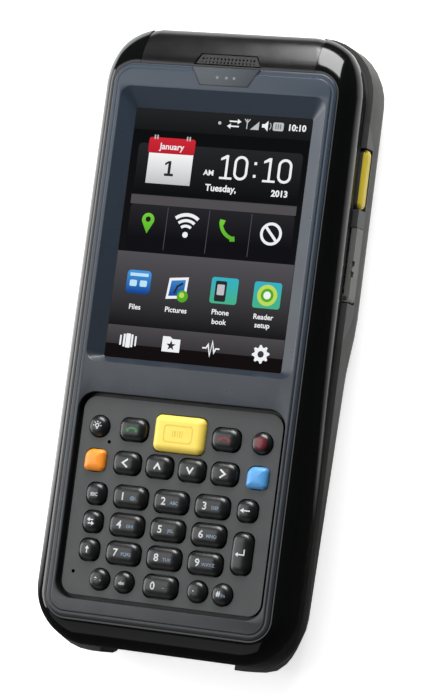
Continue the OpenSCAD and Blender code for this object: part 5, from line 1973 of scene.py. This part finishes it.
@dataclass
class Studio:
    """Floor, lamps and camera, in metres.

    The camera sees the floor brighter by floor_glow. Polished surfaces see it so only round white_middle:
    they see it at the level floor_seen beyond white_reach, and the surround at the level world_seen.
    """

    lens: float = 161.9
    clip: Flat = (0.05, 20.0)
    camera_place: Place = (0.3350, -0.0716, 0.8376)
    right: Place = (0.9224, 0.128, -0.3644)
    up: Place = (-0.0894, 0.9886, 0.1211)
    back: Place = (0.3757, -0.0791, 0.9233)
    world: float = 0.24
    world_seen: float = 0.02
    floor_half: float = 3.0
    floor_z: float = -0.0002
    floor_colour: Colour = (0.86, 0.86, 0.86)
    floor_glow: float = 0.6
    floor_seen: float = 0.03
    white_middle: Flat = (-0.07, 0.065)
    white_reach: Flat = (0.125, 0.105)
    white_fade: float = 1.4
    lamps: tuple[Lamp, ...] = (
        Lamp("key_softbox", (-0.74, 0.12, 0.94), (0.95, 1.1), 6.8),
        Lamp("left_softbox", (-0.95, 0.0, 0.22), (0.9, 0.4), 5.0),
        Lamp("far_softbox", (0.04, 0.87, 0.44), (0.66, 0.64), 15.0),
        Lamp("front_softbox", (-0.4, -0.95, 0.5), (1.5, 0.8), 1.3),
        Lamp("under_fill", (0.0, 0.0, -0.8), (0.9, 0.9), 4.0),
    )

    def build(self) -> None:
        """Makes the studio."""
        bpy.context.scene.view_settings.view_transform = "Standard"
        self._world()
        self._floor()
        for lamp in self.lamps:
            lamp.build()
        self._camera()

    def _world(self) -> None:
        """An even surround that polished surfaces see as a dark room."""
        world = bpy.data.worlds.new("surround")
        world.use_nodes = True
        nodes = Nodes(world.node_tree)
        glossy = nodes.add("ShaderNodeLightPath").outputs["Is Glossy Ray"]
        inputs = {"Value": glossy, "To Min": self.world, "To Max": self.world_seen}
        level = nodes.add("ShaderNodeMapRange", inputs)
        ground = nodes.tree.nodes["Background"]
        nodes.feed(ground, {"Color": (1, 1, 1, 1), "Strength": level.outputs["Result"]})
        bpy.context.scene.world = world

    def _floor(self) -> None:
        """A pale floor under the object, seen from above only."""
        h = self.floor_half
        mesh = bpy.data.meshes.new("floor")
        mesh.from_pydata([(-h, -h, 0), (h, -h, 0), (h, h, 0), (-h, h, 0)], [], [(0, 1, 2, 3)])
        floor = linked("floor", mesh)
        floor.location.z = self.floor_z
        floor.visible_shadow = False
        mesh.materials.append(self._floor_material())

    def _floor_material(self) -> bpy.types.Material:
        """Makes the floor's finish: matte, with its glow, its dark part and its clear lower side.

        Returns:
            The material.
        """
        material = bpy.data.materials.new(LOOK + "floor")
        material.use_nodes = True
        nodes = Nodes(material.node_tree)
        nodes.tree.nodes.clear()
        rays = nodes.add("ShaderNodeLightPath").outputs
        glossy = rays["Is Glossy Ray"]
        seen = nodes.maths("MAXIMUM", rays["Is Camera Ray"], glossy)
        matte = nodes.add("ShaderNodeBsdfDiffuse", {"Color": (*self.floor_colour, 1)})
        glow = nodes.add("ShaderNodeEmission", {"Strength": nodes.maths("MULTIPLY", seen, self.floor_glow)})
        pale = nodes.add("ShaderNodeAddShader", {0: matte.outputs[0], 1: glow.outputs[0]})
        far = self._beyond_white(nodes, glossy)
        dark = nodes.add("ShaderNodeEmission", {"Strength": self.floor_seen})
        upper = nodes.add("ShaderNodeMixShader", {0: far, 1: pale.outputs[0], 2: dark.outputs[0]})
        below = nodes.add("ShaderNodeNewGeometry").outputs["Backfacing"]
        clear = nodes.add("ShaderNodeBsdfTransparent")
        both = nodes.add("ShaderNodeMixShader", {0: below, 1: upper.outputs[0], 2: clear.outputs[0]})
        nodes.add("ShaderNodeOutputMaterial", {"Surface": both.outputs[0]})
        return material

    def _beyond_white(self, nodes: Nodes, glossy: Socket) -> Socket:
        """Where polished surfaces see the floor dark.

        Args:
            nodes: The floor's nodes.
            glossy: Whether a ray comes from a polished surface.

        Returns:
            The socket with the share of the dark level.
        """
        place = nodes.add("ShaderNodeTexCoord").outputs["Object"]
        inputs = {0: place, 1: (*self.white_middle, 0)}
        centred = nodes.add("ShaderNodeVectorMath", inputs, operation="SUBTRACT")
        across, along = self.white_reach
        inputs = {0: centred.outputs[0], 1: (1 / across, 1 / along, 0)}
        scaled = nodes.add("ShaderNodeVectorMath", inputs, operation="MULTIPLY")
        away = nodes.add("ShaderNodeVectorMath", {0: scaled.outputs[0]}, operation="LENGTH")
        inputs = {"Value": away.outputs["Value"], "From Min": 1.0, "From Max": self.white_fade}
        beyond = nodes.add("ShaderNodeMapRange", inputs)
        return nodes.maths("MULTIPLY", beyond.outputs["Result"], glossy)

    def _camera(self) -> None:
        """A long lens above the right side."""
        data = bpy.data.cameras.new("camera")
        data.lens = self.lens
        data.clip_start, data.clip_end = self.clip
        camera = linked("camera", data)
        turn = Matrix([self.right, self.up, self.back]).transposed()
        camera.matrix_world = Matrix.Translation(self.camera_place) @ turn.to_4x4()
        bpy.context.scene.camera = camera


def main() -> None:
    """Builds the terminal piece by piece, then the studio."""
    logging.basicConfig(level=logging.INFO, format="%(name)s: %(message)s")
    dress_nodes()
    FrontHousing().build()
    FacePlate().build()
    Display().build()
    for spec in KEY_SPECS:
        Key(spec).build()
    for softened in SOFTENED:
        softened.build()
    Trigger("left_trigger", -1).build()
    Trigger("right_trigger", 1).build()
    Screws().build()
    Grille().build()
    LatchRibs().build()
    Studio().build()


if __name__ == "__main__":
    main()
